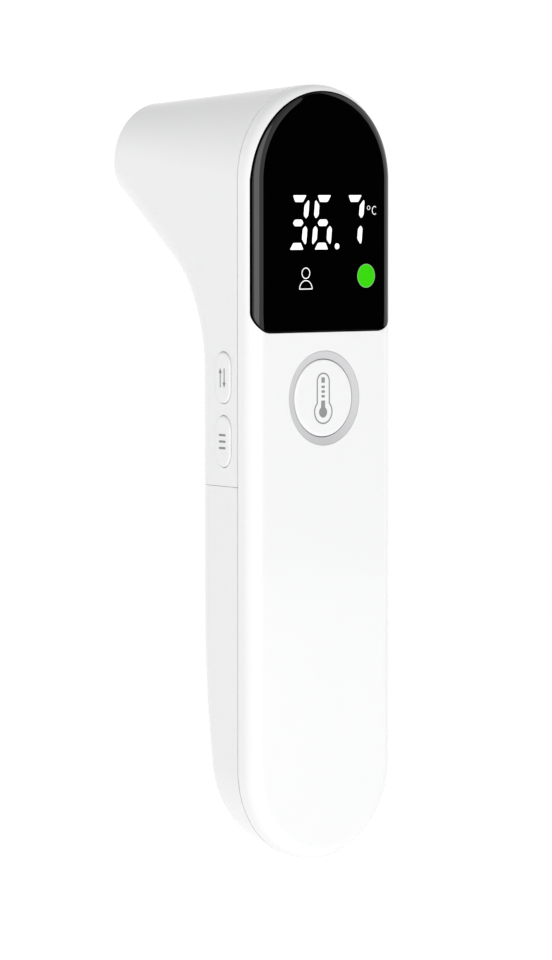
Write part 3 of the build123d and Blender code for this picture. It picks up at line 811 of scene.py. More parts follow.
def build_lip(bm, rim):
    """The ridge inside the parting line that locates the rear mouldings."""
    body = settings().thermo_body
    top = body.height - body.half_width
    profile = [(17.35, -1.25), (15.8, -1.25), (15.8, -0.05), (16.0, -0.05), (16.0, 0.9), (16.1, 1.0)]
    profile += [(16.8, 1.0), (16.9, 0.9), (16.9, -0.05), (17.35, -0.05)]
    rows = []
    for reach, depth in profile:
        points = []
        for vert in rim:
            anchor = Vector((0, 0, min(max(vert.co.z, body.half_width), top)))
            away = vert.co - anchor
            away.y = 0
            points.append(anchor + away.normalized() * reach * MM + Vector((0, depth * MM, 0)))
        rows.append(loop_of(bm, points))
    skin(bm, rows + [rows[0]], closed=True)


def build_posts(bm):
    """Screw posts, stiffening ribs and the button's guide ring behind the front face."""
    body = settings().thermo_body
    controls = settings().thermo_controls
    floor = -body.floor_depth
    posts = [(x, z, 1.9, 0.85, 2.0) for x in (-12.2, 12.2) for z in (80.4, 109.6)]
    posts += [(x, EAR_HEIGHT, 2.0, 0.9, 2.4) for x in (-EAR_ACROSS, EAR_ACROSS)]
    posts += [(0, z, 1.9, 0.9, 1.3) for z in (15.2, 74.0)]
    posts.append((0, controls.button_height / MM, 12.6, 11.7, 0.0))
    for x, z, outer, bore, high in posts:
        profile = [(bore * MM, floor), (outer * MM, floor), (outer * MM, high * MM), (bore * MM, high * MM)]
        turned(bm, profile, Vector((x * MM, 0, z * MM)), Vector((0, 1, 0)), Vector((1, 0, 0)), 40)
    reach = 17.25
    half = 0.5
    for level in (24, 36, 48, 60):
        low = level - half
        high = level + half
        outline = [(-reach, low), (reach, low), (reach, high), (-reach, high)]
        slab(bm, outline, lambda x, z, depth: Vector((x * MM, depth, z * MM)), floor, -0.02 * MM)


def build_window(bm):
    """The black window that bends over the front edge, with a fine bevel at its rim."""
    face = []
    for inset in (0.0, 0.05, 0.14, 0.26, 0.28, 0.4, 0.6, 0.8, 1.0, 1.2, 1.4, 1.6, 1.8, 2.0, 2.2, 2.35, 2.5):
        lift = -0.08 * MM if inset < 0.01 else 0.004 * MM
        lift = 0.02 * MM if inset > 0.27 else lift
        points = window_outline(-inset * MM)
        face.append(loop_of(bm, [Vector((x, surface_depth(x, z) - lift, z)) for x, z in points]))
    skin(bm, face[:4], closed=True, material=1)
    skin(bm, face[3:], closed=True)
    fill_flat(bm, [face[-1]])
    rim = window_outline(0.0)
    low = loop_of(bm, [Vector((x, surface_depth(x, z) + 0.8 * MM, z)) for x, z in rim])
    back_points = window_outline(-2.6 * MM)
    back = loop_of(bm, [Vector((x, -3.76 * MM, z)) for x, z in back_points])
    skin(bm, [face[0], low, back], closed=True)
    fill_flat(bm, [back])


# ------------------------------------------------------------------ materials


class Nodes:
    """Small helper that adds and joins shader nodes."""

    def __init__(self, tree):
        self.tree = tree

    def add(self, kind, inputs=None, **values):
        node = self.tree.nodes.new(kind)
        for key, value in values.items():
            setattr(node, key, value)
        for key, value in (inputs or {}).items():
            if isinstance(value, bpy.types.NodeSocket):
                self.tree.links.new(value, node.inputs[key])
            else:
                node.inputs[key].default_value = value
        return node

    def ramp(self, source, stops):
        node = self.tree.nodes.new("ShaderNodeValToRGB")
        ramp = node.color_ramp
        while len(ramp.elements) < len(stops):
            ramp.elements.new(0.5)
        for element, (place, shade) in zip(ramp.elements, stops):
            element.position = place
            element.color = shade
        self.tree.links.new(source, node.inputs["Fac"])
        return node.outputs["Color"]


def blank_material(name):
    material = bpy.data.materials.new(name)
    material.use_nodes = True
    tree = material.node_tree
    tree.nodes.clear()
    helper = Nodes(tree)
    output = helper.add("ShaderNodeOutputMaterial")
    shader = helper.add("ShaderNodeBsdfPrincipled")
    tree.links.new(shader.outputs["BSDF"], output.inputs["Surface"])
    coords = helper.add("ShaderNodeTexCoord").outputs["Object"]
    return material, helper, shader, coords


def moulding_group():
    """Shared moulded-plastic effect: faint tone drift, faint haze and a slight surface waviness."""
    group = bpy.data.node_groups.get("Moulding")
    if group:
        return group
    group = bpy.data.node_groups.new("Moulding", "ShaderNodeTree")
    group.interface.new_socket("Coords", in_out="INPUT", socket_type="NodeSocketVector")
    group.interface.new_socket("Tone", in_out="INPUT", socket_type="NodeSocketColor")
    group.interface.new_socket("Drift", in_out="INPUT", socket_type="NodeSocketFloat")
    group.interface.new_socket("Haze", in_out="INPUT", socket_type="NodeSocketFloat")
    group.interface.new_socket("Grain", in_out="INPUT", socket_type="NodeSocketFloat")
    group.interface.new_socket("Color", in_out="OUTPUT", socket_type="NodeSocketColor")
    group.interface.new_socket("Roughness", in_out="OUTPUT", socket_type="NodeSocketFloat")
    group.interface.new_socket("Height", in_out="OUTPUT", socket_type="NodeSocketFloat")
    helper = Nodes(group)
    entry = helper.add("NodeGroupInput")
    leave = helper.add("NodeGroupOutput")
    coords = entry.outputs["Coords"]
    drift = entry.outputs["Drift"]
    broad = helper.add("ShaderNodeTexNoise", {"Vector": coords, "Scale": 38.0, "Detail": 3.0})
    fine = helper.add("ShaderNodeTexNoise", {"Vector": coords, "Scale": 2600.0, "Detail": 2.0})
    shift = helper.add(
        "ShaderNodeMath", {0: broad.outputs["Fac"], 1: 0.5}, operation="SUBTRACT"
    )
    scaled = helper.add("ShaderNodeMath", {0: shift.outputs[0], 1: drift}, operation="MULTIPLY")
    value = helper.add("ShaderNodeMath", {0: scaled.outputs[0], 1: 1.0}, operation="ADD")
    tone = helper.add(
        "ShaderNodeHueSaturation", {"Color": entry.outputs["Tone"], "Value": value.outputs[0]}
    )
    rough = helper.add("ShaderNodeMath", {0: fine.outputs["Fac"], 1: 0.06}, operation="MULTIPLY")
    total = helper.add("ShaderNodeMath", {0: rough.outputs[0], 1: entry.outputs["Haze"]}, operation="ADD")
    height = helper.add(
        "ShaderNodeMath", {0: fine.outputs["Fac"], 1: entry.outputs["Grain"]}, operation="MULTIPLY"
    )
    group.links.new(tone.outputs["Color"], leave.inputs["Color"])
    group.links.new(total.outputs[0], leave.inputs["Roughness"])
    group.links.new(height.outputs[0], leave.inputs["Height"])
    return group


def moulded(name, tone, haze, grain=0.0, drift=0.03, coat=0.0, metallic=0.0, emission=0.0, specular=0.5):
    """A plastic, foam or metal finish built on the shared group."""
    material, helper, shader, coords = blank_material(name)
    group = helper.add("ShaderNodeGroup", node_tree=moulding_group())
    helper.tree.links.new(coords, group.inputs["Coords"])
    group.inputs["Tone"].default_value = tone
    group.inputs["Drift"].default_value = drift
    group.inputs["Haze"].default_value = haze
    group.inputs["Grain"].default_value = 1.0
    helper.tree.links.new(group.outputs["Color"], shader.inputs["Base Color"])
    helper.tree.links.new(group.outputs["Roughness"], shader.inputs["Roughness"])
    shader.inputs["Metallic"].default_value = metallic
    shader.inputs["Coat Weight"].default_value = coat
    shader.inputs["Coat Roughness"].default_value = 0.06
    shader.inputs["Specular IOR Level"].default_value = specular
    if grain:
        relief = {"Strength": grain, "Distance": 0.00004, "Height": group.outputs["Height"]}
        bump = helper.add("ShaderNodeBump", relief)
        helper.tree.links.new(bump.outputs["Normal"], shader.inputs["Normal"])
    if emission:
        helper.tree.links.new(group.outputs["Color"], shader.inputs["Emission Color"])
        shader.inputs["Emission Strength"].default_value = emission
    return material


# Name, tone, haze, grain, drift, coat, metallic of the finishes that CAD nodes and hidden pieces take.
FINISHES = {
    "Board green": ((0.012, 0.09, 0.04, 1), 0.32, 0.2, 0.25, 0.3, 0.0),
    "Moulded black": ((0.012, 0.012, 0.013, 1), 0.5, 0.5, 0.2, 0.0, 0.0),
    "Tinned steel": ((0.62, 0.62, 0.6, 1), 0.26, 0.2, 0.12, 0.0, 1.0),
    "Nickel": ((0.66, 0.64, 0.6, 1), 0.16, 0.08, 0.06, 0.0, 1.0),
    "Gold plate": ((0.85, 0.6, 0.25, 1), 0.12, 0.05, 0.06, 0.0, 1.0),
    "Coated silicon": ((0.05, 0.04, 0.09, 1), 0.08, 0.0, 0.2, 1.0, 0.6),
    "Foam tape": ((0.01, 0.01, 0.01, 1), 0.85, 0.9, 0.3, 0.0, 0.0),
    "Tray grey": ((0.035, 0.037, 0.042, 1), 0.55, 0.6, 0.2, 0.0, 0.0),
    "Nose grey": ((0.2, 0.21, 0.23, 1), 0.42, 0.5, 0.08, 0.0, 0.0),
    "Wire red": ((0.45, 0.01, 0.008, 1), 0.38, 0.1, 0.1, 0.0, 0.0),
    "Wire black": ((0.01, 0.01, 0.01, 1), 0.38, 0.1, 0.1, 0.0, 0.0),
    "Wire grey": ((0.25, 0.25, 0.27, 1), 0.4, 0.1, 0.1, 0.0, 0.0),
    "Plug white": ((0.7, 0.69, 0.64, 1), 0.4, 0.2, 0.08, 0.0, 0.0),
    "Cell wrap": ((0.02, 0.022, 0.026, 1), 0.22, 0.1, 0.1, 0.6, 0.0),
    "Cell band": ((0.42, 0.16, 0.05, 1), 0.26, 0.1, 0.1, 0.5, 0.6),
    "Lamp green": ((0.05, 0.75, 0.02, 1), 0.2, 0.0, 0.05, 0.5, 0.0),
}

# The CAD nodes that keep their own mesh, under the finish that each takes.
CAD_FINISHES = {
    "Foam tape": ["window_tape", "display_mask"],
    "Moulded black": [
        "measure_switch",
        "mode_switch",
        "memory_switch",
        "sensor_holder",
        "thermopile_chip",
        "display_module",
        "processor_chip",
        "memory_chip",
        "buzzer",
        "boost_coil",
        "board_passives",
    ],
    "Tinned steel": [
        "measure_plunger",
        "mode_plunger",
        "memory_plunger",
        "display_pins",
        "contact_bridge",
        "contact_positive",
        "contact_negative",
    ],
    "Nickel": [
        "thermopile_can",
        "crystal_can",
        "board_screws",
        "housing_screws",
        "tray_screws",
        "battery_springs",
    ],
    "Gold plate": ["thermopile_leads"],
    "Coated silicon": ["sensor_filter"],
    "Board green": ["sensor_board", "main_board"],
    "Wire grey": ["sensor_cable"],
    "Plug white": ["sensor_connector", "status_led"],
    "Lamp green": ["status_lamp"],
    "Tray grey": ["battery_tray"],
    "Wire red": ["positive_lead"],
    "Wire black": ["negative_lead"],
}


class THERMO_OT_materials(bpy.types.Operator):
    """Makes every finish and gives the carried-over CAD nodes theirs"""

    bl_idname = "thermo.materials"
    bl_label = "Materials"

    def execute(self, context):
        scene = context.scene
        moulded("Casing white", scene.thermo_body.white, 0.17, grain=0.05, drift=0.015, coat=0.35)
        moulded("Window black", scene.thermo_window.black, 0.03, drift=0.1, coat=0.0)
        moulded("Rim black", scene.thermo_window.black, 0.6, drift=0.1, specular=0.0)
        moulded("Ring silver", scene.thermo_controls.silver, 0.3, drift=0.05, metallic=0.12)
        moulded("Print", scene.thermo_controls.print_grey, 0.5, drift=0.1)
        moulded("Lit figures", scene.thermo_window.lit, 0.5, emission=1.0, specular=0.0)
        moulded("Lit dot", scene.thermo_window.lamp, 0.4, emission=1.0, specular=0.0)
        moulded("Dot rim", (0.2, 0.34, 0.18, 1), 0.4, emission=0.6, specular=0.0)
        for name, (tone, haze, grain, drift, coat, metallic) in FINISHES.items():
            moulded(name, tone, haze, grain, drift, coat, metallic)
        for finish, names in CAD_FINISHES.items():
            for name in names:
                mesh = nodes[name].data
                mesh.materials.clear()
                mesh.materials.append(bpy.data.materials[finish])
        return {"FINISHED"}


# ------------------------------------------------------------------ pieces


def make(name, builder, materials, body, replaced, smooth=35.0):
    bm = new_mesh()
    builder(bm)
    return finish_piece(bm, name, materials, body, replaced, smooth)


class THERMO_OT_body(bpy.types.Operator):
    """Front cover, horn housing and battery cover"""

    bl_idname = "thermo.body"
    bl_label = "Body"

    def execute(self, context):
        make("face_housing", build_front, ["Casing white"], "handset", ["front_cover"])
        make("horn_housing", build_shell, ["Casing white"], "handset", ["rear_shell"])
        make("cell_door", build_cover, ["Casing white"], "battery_door", ["battery_cover"])
        return {"FINISHED"}


class THERMO_OT_window(bpy.types.Operator):
    """Black display window"""

    bl_idname = "thermo.window"
    bl_label = "Window"

    def execute(self, context):
        make("lens_window", build_window, ["Window black", "Rim black"], "handset", ["display_window"])
        return {"FINISHED"}


def build_ring(bm):
    controls = settings().thermo_controls
    outer = controls.ring_radius
    inner = controls.ring_inner
    flange = 10.9 * MM
    flange_front = 3.06
    flange_back = 2.2
    profile = [
        (inner, flange_back),
        (inner, 4.20),
        (inner + 0.03 * MM, 4.25),
        (outer - 0.12 * MM, 4.65),
        (outer - 0.04 * MM, 4.66),
        (outer, 4.6),
        (outer, flange_front),
        (flange, flange_front),
        (flange, flange_back),
    ]
    profile = [(radius, depth * MM) for radius, depth in profile]
    turned(bm, profile, Vector((0, 0, controls.button_height)), Vector((0, -1, 0)), Vector((1, 0, 0)), 128)


def build_button(bm):
    controls = settings().thermo_controls
    radius = controls.button_radius
    face = controls.button_face
    edge = 0.35 * MM
    flat = radius - edge
    flange = 8.8 * MM
    flange_front = 2.05 * MM
    flange_back = 1.35 * MM
    stem = 1.7 * MM
    stem_end = 0.95 * MM
    profile = [(0.0, face)]
    for k in range(1, 9):
        profile.append((flat * k / 8, face))
    for k in range(1, 7):
        turn = math.pi / 2 * k / 6
        profile.append((flat + edge * math.sin(turn), face - edge * (1 - math.cos(turn))))
    profile += [
        (radius, flange_front),
        (flange, flange_front),
        (flange, flange_back),
        (stem, flange_back),
        (stem, stem_end),
        (0.0, stem_end),
    ]
    turned(bm, profile, Vector((0, 0, controls.button_height)), Vector((0, -1, 0)), Vector((1, 0, 0)), 128)


def key_place(height):
    """Maps (depth offset, height offset, distance out of the side) to space for a key on the left side."""
    body = settings().thermo_body
    controls = settings().thermo_controls
    lean_sin, lean_cos = taper()

    def place(x, y, out):
        depth = controls.key_depth + x
        across = body.half_width - depth * lean_sin / lean_cos + out
        return Vector((-across, depth, height + y))

    return place


def build_key(height):
    def build(bm):
        controls = settings().thermo_controls
        place = key_place(height)
        rows = []
        crown = [(0.04, 0.16), (0.13, 0.29), (0.26, 0.37), (0.45, 0.41), (0.9, KEY_CROWN)]
        for inset, out in [(0.0, -2.2), (0.0, 0.02)] + crown:
            trim = 2 * inset * MM
            points = slot_outline(controls.key_length - trim, controls.key_width - trim, 28)
            rows.append(loop_of(bm, [place(x, y, out * MM) for x, y in points]))
        skin(bm, rows, closed=True)
        fill_flat(bm, [rows[-1]])
        fill_flat(bm, [rows[0]])
        wide = slot_outline(controls.key_length + 1.6 * MM, controls.key_width + 1.2 * MM, 28)

        def flange(x, y, across):
            return Vector((-across, controls.key_depth + x, height + y))

        slab(bm, wide, flange, 14.9 * MM, 15.5 * MM)
        slab(bm, circle(1.5 * MM, 24), flange, 14.55 * MM, 14.95 * MM)

    return build


class THERMO_OT_controls(bpy.types.Operator):
    """Measuring button with its ring, and the two side keys"""

    bl_idname = "thermo.controls"
    bl_label = "Controls"

    def execute(self, context):
        controls = context.scene.thermo_controls
        make("bevel_ring", build_ring, ["Ring silver"], "handset", ["button_ring"], 25)
        make("round_key", build_button, ["Casing white"], "measure_key", ["measure_button"])
        upper = build_key(controls.key_upper)
        lower = build_key(controls.key_lower)
        make("side_key_upper", upper, ["Casing white"], "mode_key", ["mode_button"])
        make("side_key_lower", lower, ["Casing white"], "memory_key", ["memory_button"])
        return {"FINISHED"}


def build_nose_ring(bm):
    """The grey ring round the sensor opening."""
    centre, out, across = mouth_frame()[:3]
    profile = [(6.8, 3.6), (6.8, -0.18), (6.9, -0.3), (8.12, -0.3), (8.3, -0.24), (8.46, -0.1), (8.52, 0.05)]
    profile += [(8.55, 0.2), (8.55, 0.85), (7.5, 0.85), (7.5, 3.6)]
    turned(bm, [(radius * MM, -depth * MM) for radius, depth in profile], centre, out, across, 128)


def build_sensor_holder(bm):
    """The black tube that carries the sensor and its cup, with fine steps inside its lip."""
    centre, out, across = mouth_frame()[:3]
    lip = [(6.28, 0.4), (6.62, 0.4), (6.7, 0.5)]
    collar = [(6.7, 3.8), (7.6, 3.8), (7.6, 2.1), (8.1, 2.1), (8.1, 5.2), (6.7, 5.2)]
    tube = [(6.7, 19.8), (6.5, 20), (4.75, 20)]
    seat = [(4.75, 13.4), (3.2, 13.4), (3.2, 13.0), (6.2, 1.0), (6.2, 0.48)]
    profile = lip + collar + tube + seat
    turned(bm, [(radius * MM, -depth * MM) for radius, depth in profile], centre, out, across, 96)


def build_cup(bm):
    """The polished cone that gathers the infrared on to the sensor."""
    centre, out, across = mouth_frame()[:3]
    outer = [(6.15, 1.0), (5.4, 4.0), (4.65, 7.0), (3.9, 10.0), (3.15, 13.0)]
    inner = [(2.7, 13.0), (3.45, 10.0), (4.2, 7.0), (4.95, 4.0), (5.66, 1.12), (5.74, 1.0), (6.05, 0.94)]
    profile = [(radius * MM, -depth * MM) for radius, depth in outer + inner]
    turned(bm, profile, centre, out, across, 96)


class THERMO_OT_nose(bpy.types.Operator):
    """Ring, sensor tube and cup at the end of the horn"""

    bl_idname = "thermo.nose"
    bl_label = "Nose"

    def execute(self, context):
        make("mouth_ring", build_nose_ring, ["Nose grey"], "handset", ["nose_ring"], 25)
        make("sensor_tube", build_sensor_holder, ["Moulded black"], "handset", ["sensor_holder"])
        make("gather_cone", build_cup, ["Gold plate"], "handset", ["sensor_cup"])
        return {"FINISHED"}


def build_cell(x, low, direction):
    """A cell with a wrapped can, a shoulder, a nipple and a flat end."""

    def build(bm):
        tall = 44.5
        depth = 7.9 * MM
        start = low if direction > 0 else low + tall * MM
        origin = Vector((x, depth, start))
        axis = Vector((0, 0, direction))
        metal_end = [(0.0, 0.0), (3.9, 0.0), (4.1, 0.12), (4.45, 0.12)]
        wrap = [(4.45, 0.12), (4.95, 0.12), (5.2, 0.3), (5.25, 0.6), (5.25, 13.0)]
        wrap += [(5.25, 42.6), (5.2, 42.95), (4.9, 43.2), (4.5, 43.22)]
        nipple = [(4.5, 43.22), (2.1, 43.22), (1.95, 43.35), (1.9, 44.3), (1.7, tall), (0.0, tall)]
        for profile, material in ((metal_end, 1), (wrap[:5], 0), (wrap[4:], 2), (nipple, 1)):
            scaled = [(radius * MM, along * MM) for radius, along in profile]
            turned(bm, scaled, origin, axis, Vector((1, 0, 0)), 72, material=material, closed=False)

    return build


class THERMO_OT_cells(bpy.types.Operator):
    """The two cells in the handle"""

    bl_idname = "thermo.cells"
    bl_label = "Cells"

    def execute(self, context):
        wraps = ["Cell wrap", "Nickel", "Cell band"]
        make("cell_left", build_cell(-5.75 * MM, 25.5 * MM, 1), wraps, "handset", ["battery_left"])
        make("cell_right", build_cell(5.75 * MM, 20.5 * MM, -1), wraps, "handset", ["battery_right"])
        return {"FINISHED"}


# ------------------------------------------------------------------ marks


def stroke(bm, points, width, place, low, high, closed=False):
    """A flat line of one width drawn through points, with a small thickness."""
    count = len(points)
    rows = [[], [], [], []]
    for i, (x, y) in enumerate(points):
        before = points[i - 1] if (i or closed) else points[i]
        after = points[(i + 1) % count] if (i < count - 1 or closed) else points[i]
        first = Vector((x - before[0], y - before[1]))
        second = Vector((after[0] - x, after[1] - y))
        first = first.normalized() if first.length > 0 else second.normalized()
        second = second.normalized() if second.length > 0 else first
        along = (first + second).normalized()
        normal = Vector((-along.y, along.x))
        spread = width / 2 / max(normal.dot(Vector((-first.y, first.x))), 0.5)
        left = (x + normal.x * spread, y + normal.y * spread)
        right = (x - normal.x * spread, y - normal.y * spread)
        rows[0].append(place(left[0], left[1], low))
        rows[1].append(place(left[0], left[1], high))
        rows[2].append(place(right[0], right[1], high))
        rows[3].append(place(right[0], right[1], low))
    made = [loop_of(bm, row) for row in rows]
    skin(bm, made + [made[0]], closed=closed)
    if not closed:
        bm.faces.new([row[0] for row in made])
        bm.faces.new([row[-1] for row in made][::-1])


def arc_points(x, y, radius, start, end, steps):
    """Points along an arc, angles in degrees."""
    points = []
    for k in range(steps + 1):
        turn = math.radians(start + (end - start) * k / steps)
        points.append((x + radius * math.cos(turn), y + radius * math.sin(turn)))
    return points


def circle(radius, steps):
    """Points round a circle about the origin."""
    return arc_points(0, 0, radius, 0, 360 - 360 / steps, steps - 1)


def on_front(x, z, lift):
    body = settings().thermo_body
    return Vector((x * MM, -body.front_depth - lift * MM, z * MM))


def on_button(x, z, lift):
    controls = settings().thermo_controls
    return Vector((x * MM, -controls.button_face - lift * MM, controls.button_height + z * MM))


def mirrored(points, shift=0.0):
    return [(-x + shift, y) for x, y in reversed(points)]


# The bars of one lit figure, in millimetres round its centre, before slanting.
UPPER_RIGHT = [(2.2, 4.55), (2.45, 4.2), (2.45, 1.5), (1.9, 0.85), (1.25, 1.5), (1.25, 3.45)]
LOWER_RIGHT = [(1.9, -0.6), (2.45, -1.25), (2.45, -3.95), (2.2, -4.35), (1.25, -3.3), (1.25, -1.25)]
BARS = {
    "top": [(-2.0, 5.5), (1.55, 5.5), (0.75, 4.15), (-1.3, 4.15)],
    "middle": [(-1.5, 0.0), (-1.0, 0.66), (0.8, 0.66), (1.3, 0.0), (0.8, -0.66), (-1.0, -0.66)],
    "bottom": [(-1.78, -5.35), (1.8, -5.35), (1.0, -4.0), (-1.0, -4.0)],
    "upper_right": UPPER_RIGHT,
    "lower_right": LOWER_RIGHT,
    "upper_left": mirrored(UPPER_RIGHT, -0.16),
    "lower_left": mirrored(LOWER_RIGHT, -0.16),
}
FIGURES = (
    (-6.96, ("top", "upper_right", "middle", "lower_right", "bottom")),
    (-0.33, ("top", "upper_left", "middle", "lower_left", "lower_right", "bottom")),
    (8.0, ("top", "upper_right", "lower_right")),
)


def build_figures(bm):
    """The three lit figures, the point and the degree sign with its C."""
    window = settings().thermo_window
    level = window.figure_height / MM
    for across, bars in FIGURES:
        for bar in bars:
            outline = [(across + x + 0.1 * y, level + y) for x, y in BARS[bar]]
            slab(bm, rounded(outline, 0.26), on_front, LIT_LOW, LIT_HIGH)
    slab(bm, arc_points(3.4, level - 4.75, 0.6, 0, 350, 35), on_front, LIT_LOW, LIT_HIGH)
    degree = arc_points(12.0, level + 2.95, 0.38, 0, 345, 23)
    stroke(bm, degree, 0.1, on_front, LIT_LOW, LIT_HIGH, closed=True)
    letter = [(13.6 + 0.6 * x, level + 2.42 + 0.8 * y) for x, y in arc_points(0, 0, 1, 50, 310, 20)]
    stroke(bm, letter, 0.14, on_front, LIT_LOW, LIT_HIGH)


def build_face_sign(bm):
    """A plain sign of a person seen from the front: a round head over round shoulders, without a face."""
    window = settings().thermo_window
    tall = window.sign_size / MM
    across = window.sign_across / MM
    low = window.sign_height / MM - tall / 2
    head = tall / 4
    shoulders = 0.4 * tall
    round_head = arc_points(across, low + tall - head, head, 0, 350, 35)
    round_shoulders = arc_points(across, low, shoulders, 0, 180, 24)
    for outline in (round_head, round_shoulders):
        stroke(bm, outline, 0.17, on_front, LIT_LOW, LIT_HIGH, closed=True)


def build_dot(bm):
    """The round status light seen through the window."""
    level = settings().thermo_window.sign_height / MM
    slab(bm, arc_points(11.33, level + 0.35, 2.3, 0, 355, 71), on_front, LIT_LOW, LIT_HIGH)


def build_dot_ring(bm):
    """The thin pale line round the status light."""
    level = settings().thermo_window.sign_height / MM
    stroke(bm, arc_points(11.33, level + 0.35, 2.35, 0, 355, 71), 0.09, on_front, 0.015, 0.05, closed=True)


def build_button_mark(bm):
    """A thermometer sign printed on the measuring button."""
    opening = math.degrees(math.asin(1.62 / 2.35))
    outline = arc_points(-0.1, -2.75, 2.35, 90 + opening, 450 - opening, 40)
    outline += arc_points(-0.1, 3.35, 1.62, 0, 180, 24)
    stroke(bm, outline, 0.3, on_button, PRINT_LOW, PRINT_HIGH, closed=True)
    bulb = arc_points(-0.15, -2.85, 1.08, 120, 420, 30)
    slab(bm, bulb + [(0.35, -0.5), (-0.65, -0.5)], on_button, PRINT_LOW, PRINT_HIGH)
    for height, tall in ((0.35, 0.5), (1.3, 0.5), (2.25, 0.5), (3.6, 1.1)):
        low = height - tall / 2
        high = height + tall / 2
        bar = [(-0.6, low), (0.3, low), (0.3, high), (-0.6, high)]
        slab(bm, rounded(bar, 0.15, 3), on_button, PRINT_LOW, PRINT_HIGH)


def build_mode_mark(bm):
    """Two opposed arrows printed on the upper side key."""
    place = key_place(settings().thermo_controls.key_upper)
    for side in (-1, 1):
        arrow = [(0.75, -1.9), (0.75, 1.1)]
        head = [(0.15, 0.95), (1.35, 0.95), (0.75, 1.95)]
        shaft = [(x * side * MM, y * side * MM) for x, y in arrow]
        point = [(x * side * MM, y * side * MM) for x, y in head]
        stroke(bm, shaft, 0.32 * MM, place, MARK_LOW, MARK_HIGH)
        slab(bm, point, place, MARK_LOW, MARK_HIGH)


def build_memory_mark(bm):
    """Three stacked bars printed on the lower side key."""
    place = key_place(settings().thermo_controls.key_lower)
    for height in (-1.3, 0.0, 1.3):
        bar = [(-1.25, height - 0.22), (1.25, height - 0.22), (1.25, height + 0.22), (-1.25, height + 0.22)]
        outline = rounded([(x * MM, y * MM) for x, y in bar], 0.18 * MM, 3)
        slab(bm, outline, place, MARK_LOW, MARK_HIGH)


class THERMO_OT_marks(bpy.types.Operator):
    """Lit figures on the window and printed signs on the button and keys"""

    bl_idname = "thermo.marks"
    bl_label = "Marks"

    def execute(self, context):
        make("lit_figures", build_figures, ["Lit figures"], "handset", [])
        make("lit_head_sign", build_face_sign, ["Lit figures"], "handset", [])
        make("lit_dot", build_dot, ["Lit dot"], "handset", [])
        make("lit_dot_ring", build_dot_ring, ["Dot rim"], "handset", [])
        make("button_sign", build_button_mark, ["Print"], "measure_key", [])
        make("upper_key_sign", build_mode_mark, ["Print"], "mode_key", [])
        make("lower_key_sign", build_memory_mark, ["Print"], "memory_key", [])
        return {"FINISHED"}


# ------------------------------------------------------------------ stage


def stage_piece(scene, name, material, points, faces):
    mesh = bpy.data.meshes.new(name)
    mesh.from_pydata(points, [], faces)
    mesh.materials.append(material)
    piece = bpy.data.objects.new(name, mesh)
    scene.collection.objects.link(piece)
    return piece


def floor_piece(scene):
    """A pale lit floor that reaches far behind the object."""
    material, helper, shader, coords = blank_material("Floor white")
    shade = helper.add("ShaderNodeTexNoise", {"Vector": coords, "Scale": 3.0})
    tint = helper.ramp(shade.outputs["Fac"], [(0.0, (0.9, 0.9, 0.9, 1)), (1.0, (0.92, 0.92, 0.92, 1))])
    helper.tree.links.new(tint, shader.inputs["Base Color"])
    helper.tree.links.new(tint, shader.inputs["Emission Color"])
    shader.inputs["Emission Strength"].default_value = 0.5
    shader.inputs["Roughness"].default_value = 0.9
    shader.inputs["Specular IOR Level"].default_value = 0.1
    reach = 8.0
    level = -0.12
    square = ((-reach, -reach), (reach, -reach), (reach, reach), (-reach, reach))
    corners = [(x, y, level) for x, y in square]
    stage_piece(scene, "Floor", material, corners, [(0, 1, 2, 3)])


def soft_box(scene, name, place, target, width, height, strength, shade):
    """A large soft area light aimed at a target."""
    light = bpy.data.lights.new(name, "AREA")
    light.shape = "RECTANGLE"
    light.size = width
    light.size_y = height
    light.energy = strength
    light.color = shade
    lamp = bpy.data.objects.new(name, light)
    scene.collection.objects.link(lamp)
    lamp.location = place
    lamp.rotation_euler = (Vector(place) - Vector(target)).to_track_quat("Z", "Y").to_euler()


def dark_card(scene):
    """A black card to the right that the flat window mirrors."""
    material, helper, shader, coords = blank_material("Card black")
    shade = helper.add("ShaderNodeTexNoise", {"Vector": coords, "Scale": 20.0})
    blacks = [(0.0, (0.001, 0.001, 0.001, 1)), (1.0, (0.002, 0.002, 0.002, 1))]
    tint = helper.ramp(shade.outputs["Fac"], blacks)
    helper.tree.links.new(tint, shader.inputs["Base Color"])
    shader.inputs["Roughness"].default_value = 1.0
    shader.inputs["Specular IOR Level"].default_value = 0.0
    turn = math.radians(42.0)
    reach = 0.62
    middle = Vector((math.sin(turn) * reach, -math.cos(turn) * reach, 0.46))
    side = Vector((math.cos(turn), math.sin(turn), 0)) * 0.085
    lift = Vector((0, 0, 0.45))
    corners = [middle - side - lift, middle + side - lift, middle + side + lift, middle - side + lift]
    card = stage_piece(scene, "Card", material, corners, [(0, 1, 2, 3)])
    card.visible_camera = False


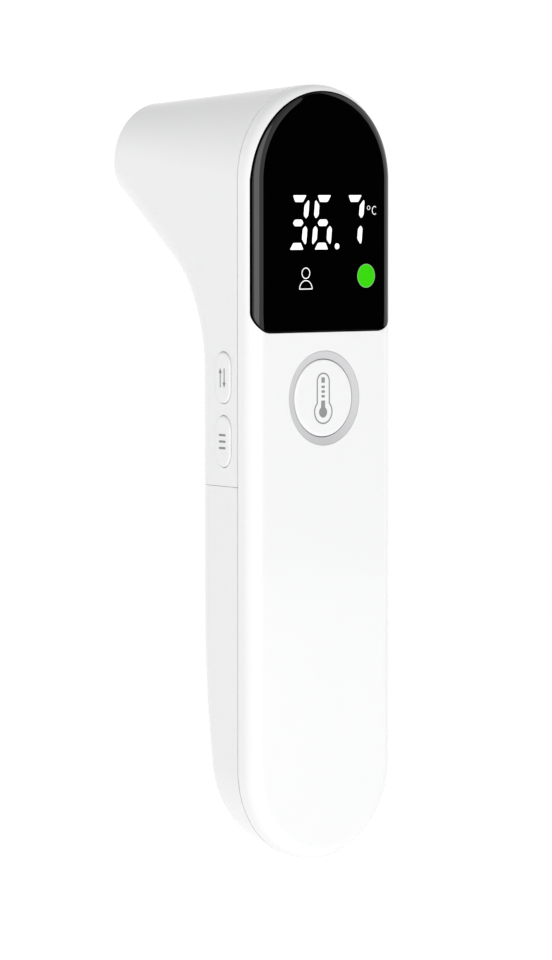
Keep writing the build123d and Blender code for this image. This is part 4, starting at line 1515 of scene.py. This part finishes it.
class THERMO_OT_stage(bpy.types.Operator):
    """Floor, lights and camera"""

    bl_idname = "thermo.stage"
    bl_label = "Stage"

    def execute(self, context):
        scene = context.scene
        floor_piece(scene)
        soft_box(scene, "Front box", (-0.45, -1.15, 0.44), (0, 0, 0.06), 1.0, 0.9, 5.4, (1.0, 1.0, 1.0))
        dark_card(scene)
        world = bpy.data.worlds.new("Studio")
        world.use_nodes = True
        tree = world.node_tree
        helper = Nodes(tree)
        coords = helper.add("ShaderNodeTexCoord").outputs["Generated"]
        split = helper.add("ShaderNodeSeparateXYZ", {0: coords})
        shade = helper.ramp(
            split.outputs["Z"],
            [(0.0, (1.0, 1.0, 1.0, 1)), (0.25, (0.9, 0.9, 0.9, 1)), (1.0, (0.3, 0.3, 0.3, 1))],
        )
        tree.links.new(shade, tree.nodes["Background"].inputs["Color"])
        tree.nodes["Background"].inputs["Strength"].default_value = 1.06
        scene.world = world
        azimuth = math.radians(-41.904)
        elevation = math.radians(3.25)
        target = Vector((0, 0, 0.078))
        back = Vector(
            (
                math.sin(azimuth) * math.cos(elevation),
                -math.cos(azimuth) * math.cos(elevation),
                math.sin(elevation),
            )
        )
        camera = bpy.data.cameras.new("Camera")
        camera.lens = 189.2
        camera.sensor_width = 36
        camera.shift_x = -0.0342
        camera.shift_y = -0.0079
        camera.clip_start = 0.05
        camera_object = bpy.data.objects.new("Camera", camera)
        scene.collection.objects.link(camera_object)
        camera_object.location = target + back * 1.01719
        camera_object.rotation_euler = back.to_track_quat("Z", "Y").to_euler()
        scene.camera = camera_object
        scene.view_settings.view_transform = "Standard"
        return {"FINISHED"}


class THERMO_PT_panel(bpy.types.Panel):
    """Thermometer tools in the sidebar"""

    bl_label = "Thermometer"
    bl_idname = "THERMO_PT_panel"
    bl_space_type = "VIEW_3D"
    bl_region_type = "UI"
    bl_category = "Thermometer"

    def draw(self, context):
        layout = self.layout
        for operator in STEPS:
            layout.operator(operator.bl_idname)
        for owner, group in (("thermo_body", THERMO_PG_body), ("thermo_window", THERMO_PG_window)):
            box = layout.box()
            for name in group.__annotations__:
                box.prop(getattr(context.scene, owner), name)


STEPS = (
    THERMO_OT_materials,
    THERMO_OT_body,
    THERMO_OT_window,
    THERMO_OT_controls,
    THERMO_OT_nose,
    THERMO_OT_cells,
    THERMO_OT_marks,
    THERMO_OT_stage,
)

GROUPS = (
    ("thermo_body", THERMO_PG_body),
    ("thermo_window", THERMO_PG_window),
    ("thermo_controls", THERMO_PG_controls),
    ("thermo_quality", THERMO_PG_quality),
)


def register():
    for name, group in GROUPS:
        bpy.utils.register_class(group)
        setattr(bpy.types.Scene, name, PointerProperty(type=group))
    for operator in STEPS:
        bpy.utils.register_class(operator)
    bpy.utils.register_class(THERMO_PT_panel)


def unregister():
    bpy.utils.unregister_class(THERMO_PT_panel)
    for operator in reversed(STEPS):
        bpy.utils.unregister_class(operator)
    for name, group in reversed(GROUPS):
        delattr(bpy.types.Scene, name)
        bpy.utils.unregister_class(group)


def main():
    register()
    bpy.ops.thermo.materials()
    bpy.ops.thermo.body()
    bpy.ops.thermo.window()
    bpy.ops.thermo.controls()
    bpy.ops.thermo.nose()
    bpy.ops.thermo.cells()
    bpy.ops.thermo.marks()
    bpy.ops.thermo.stage()


if __name__ == "__main__":
    main()
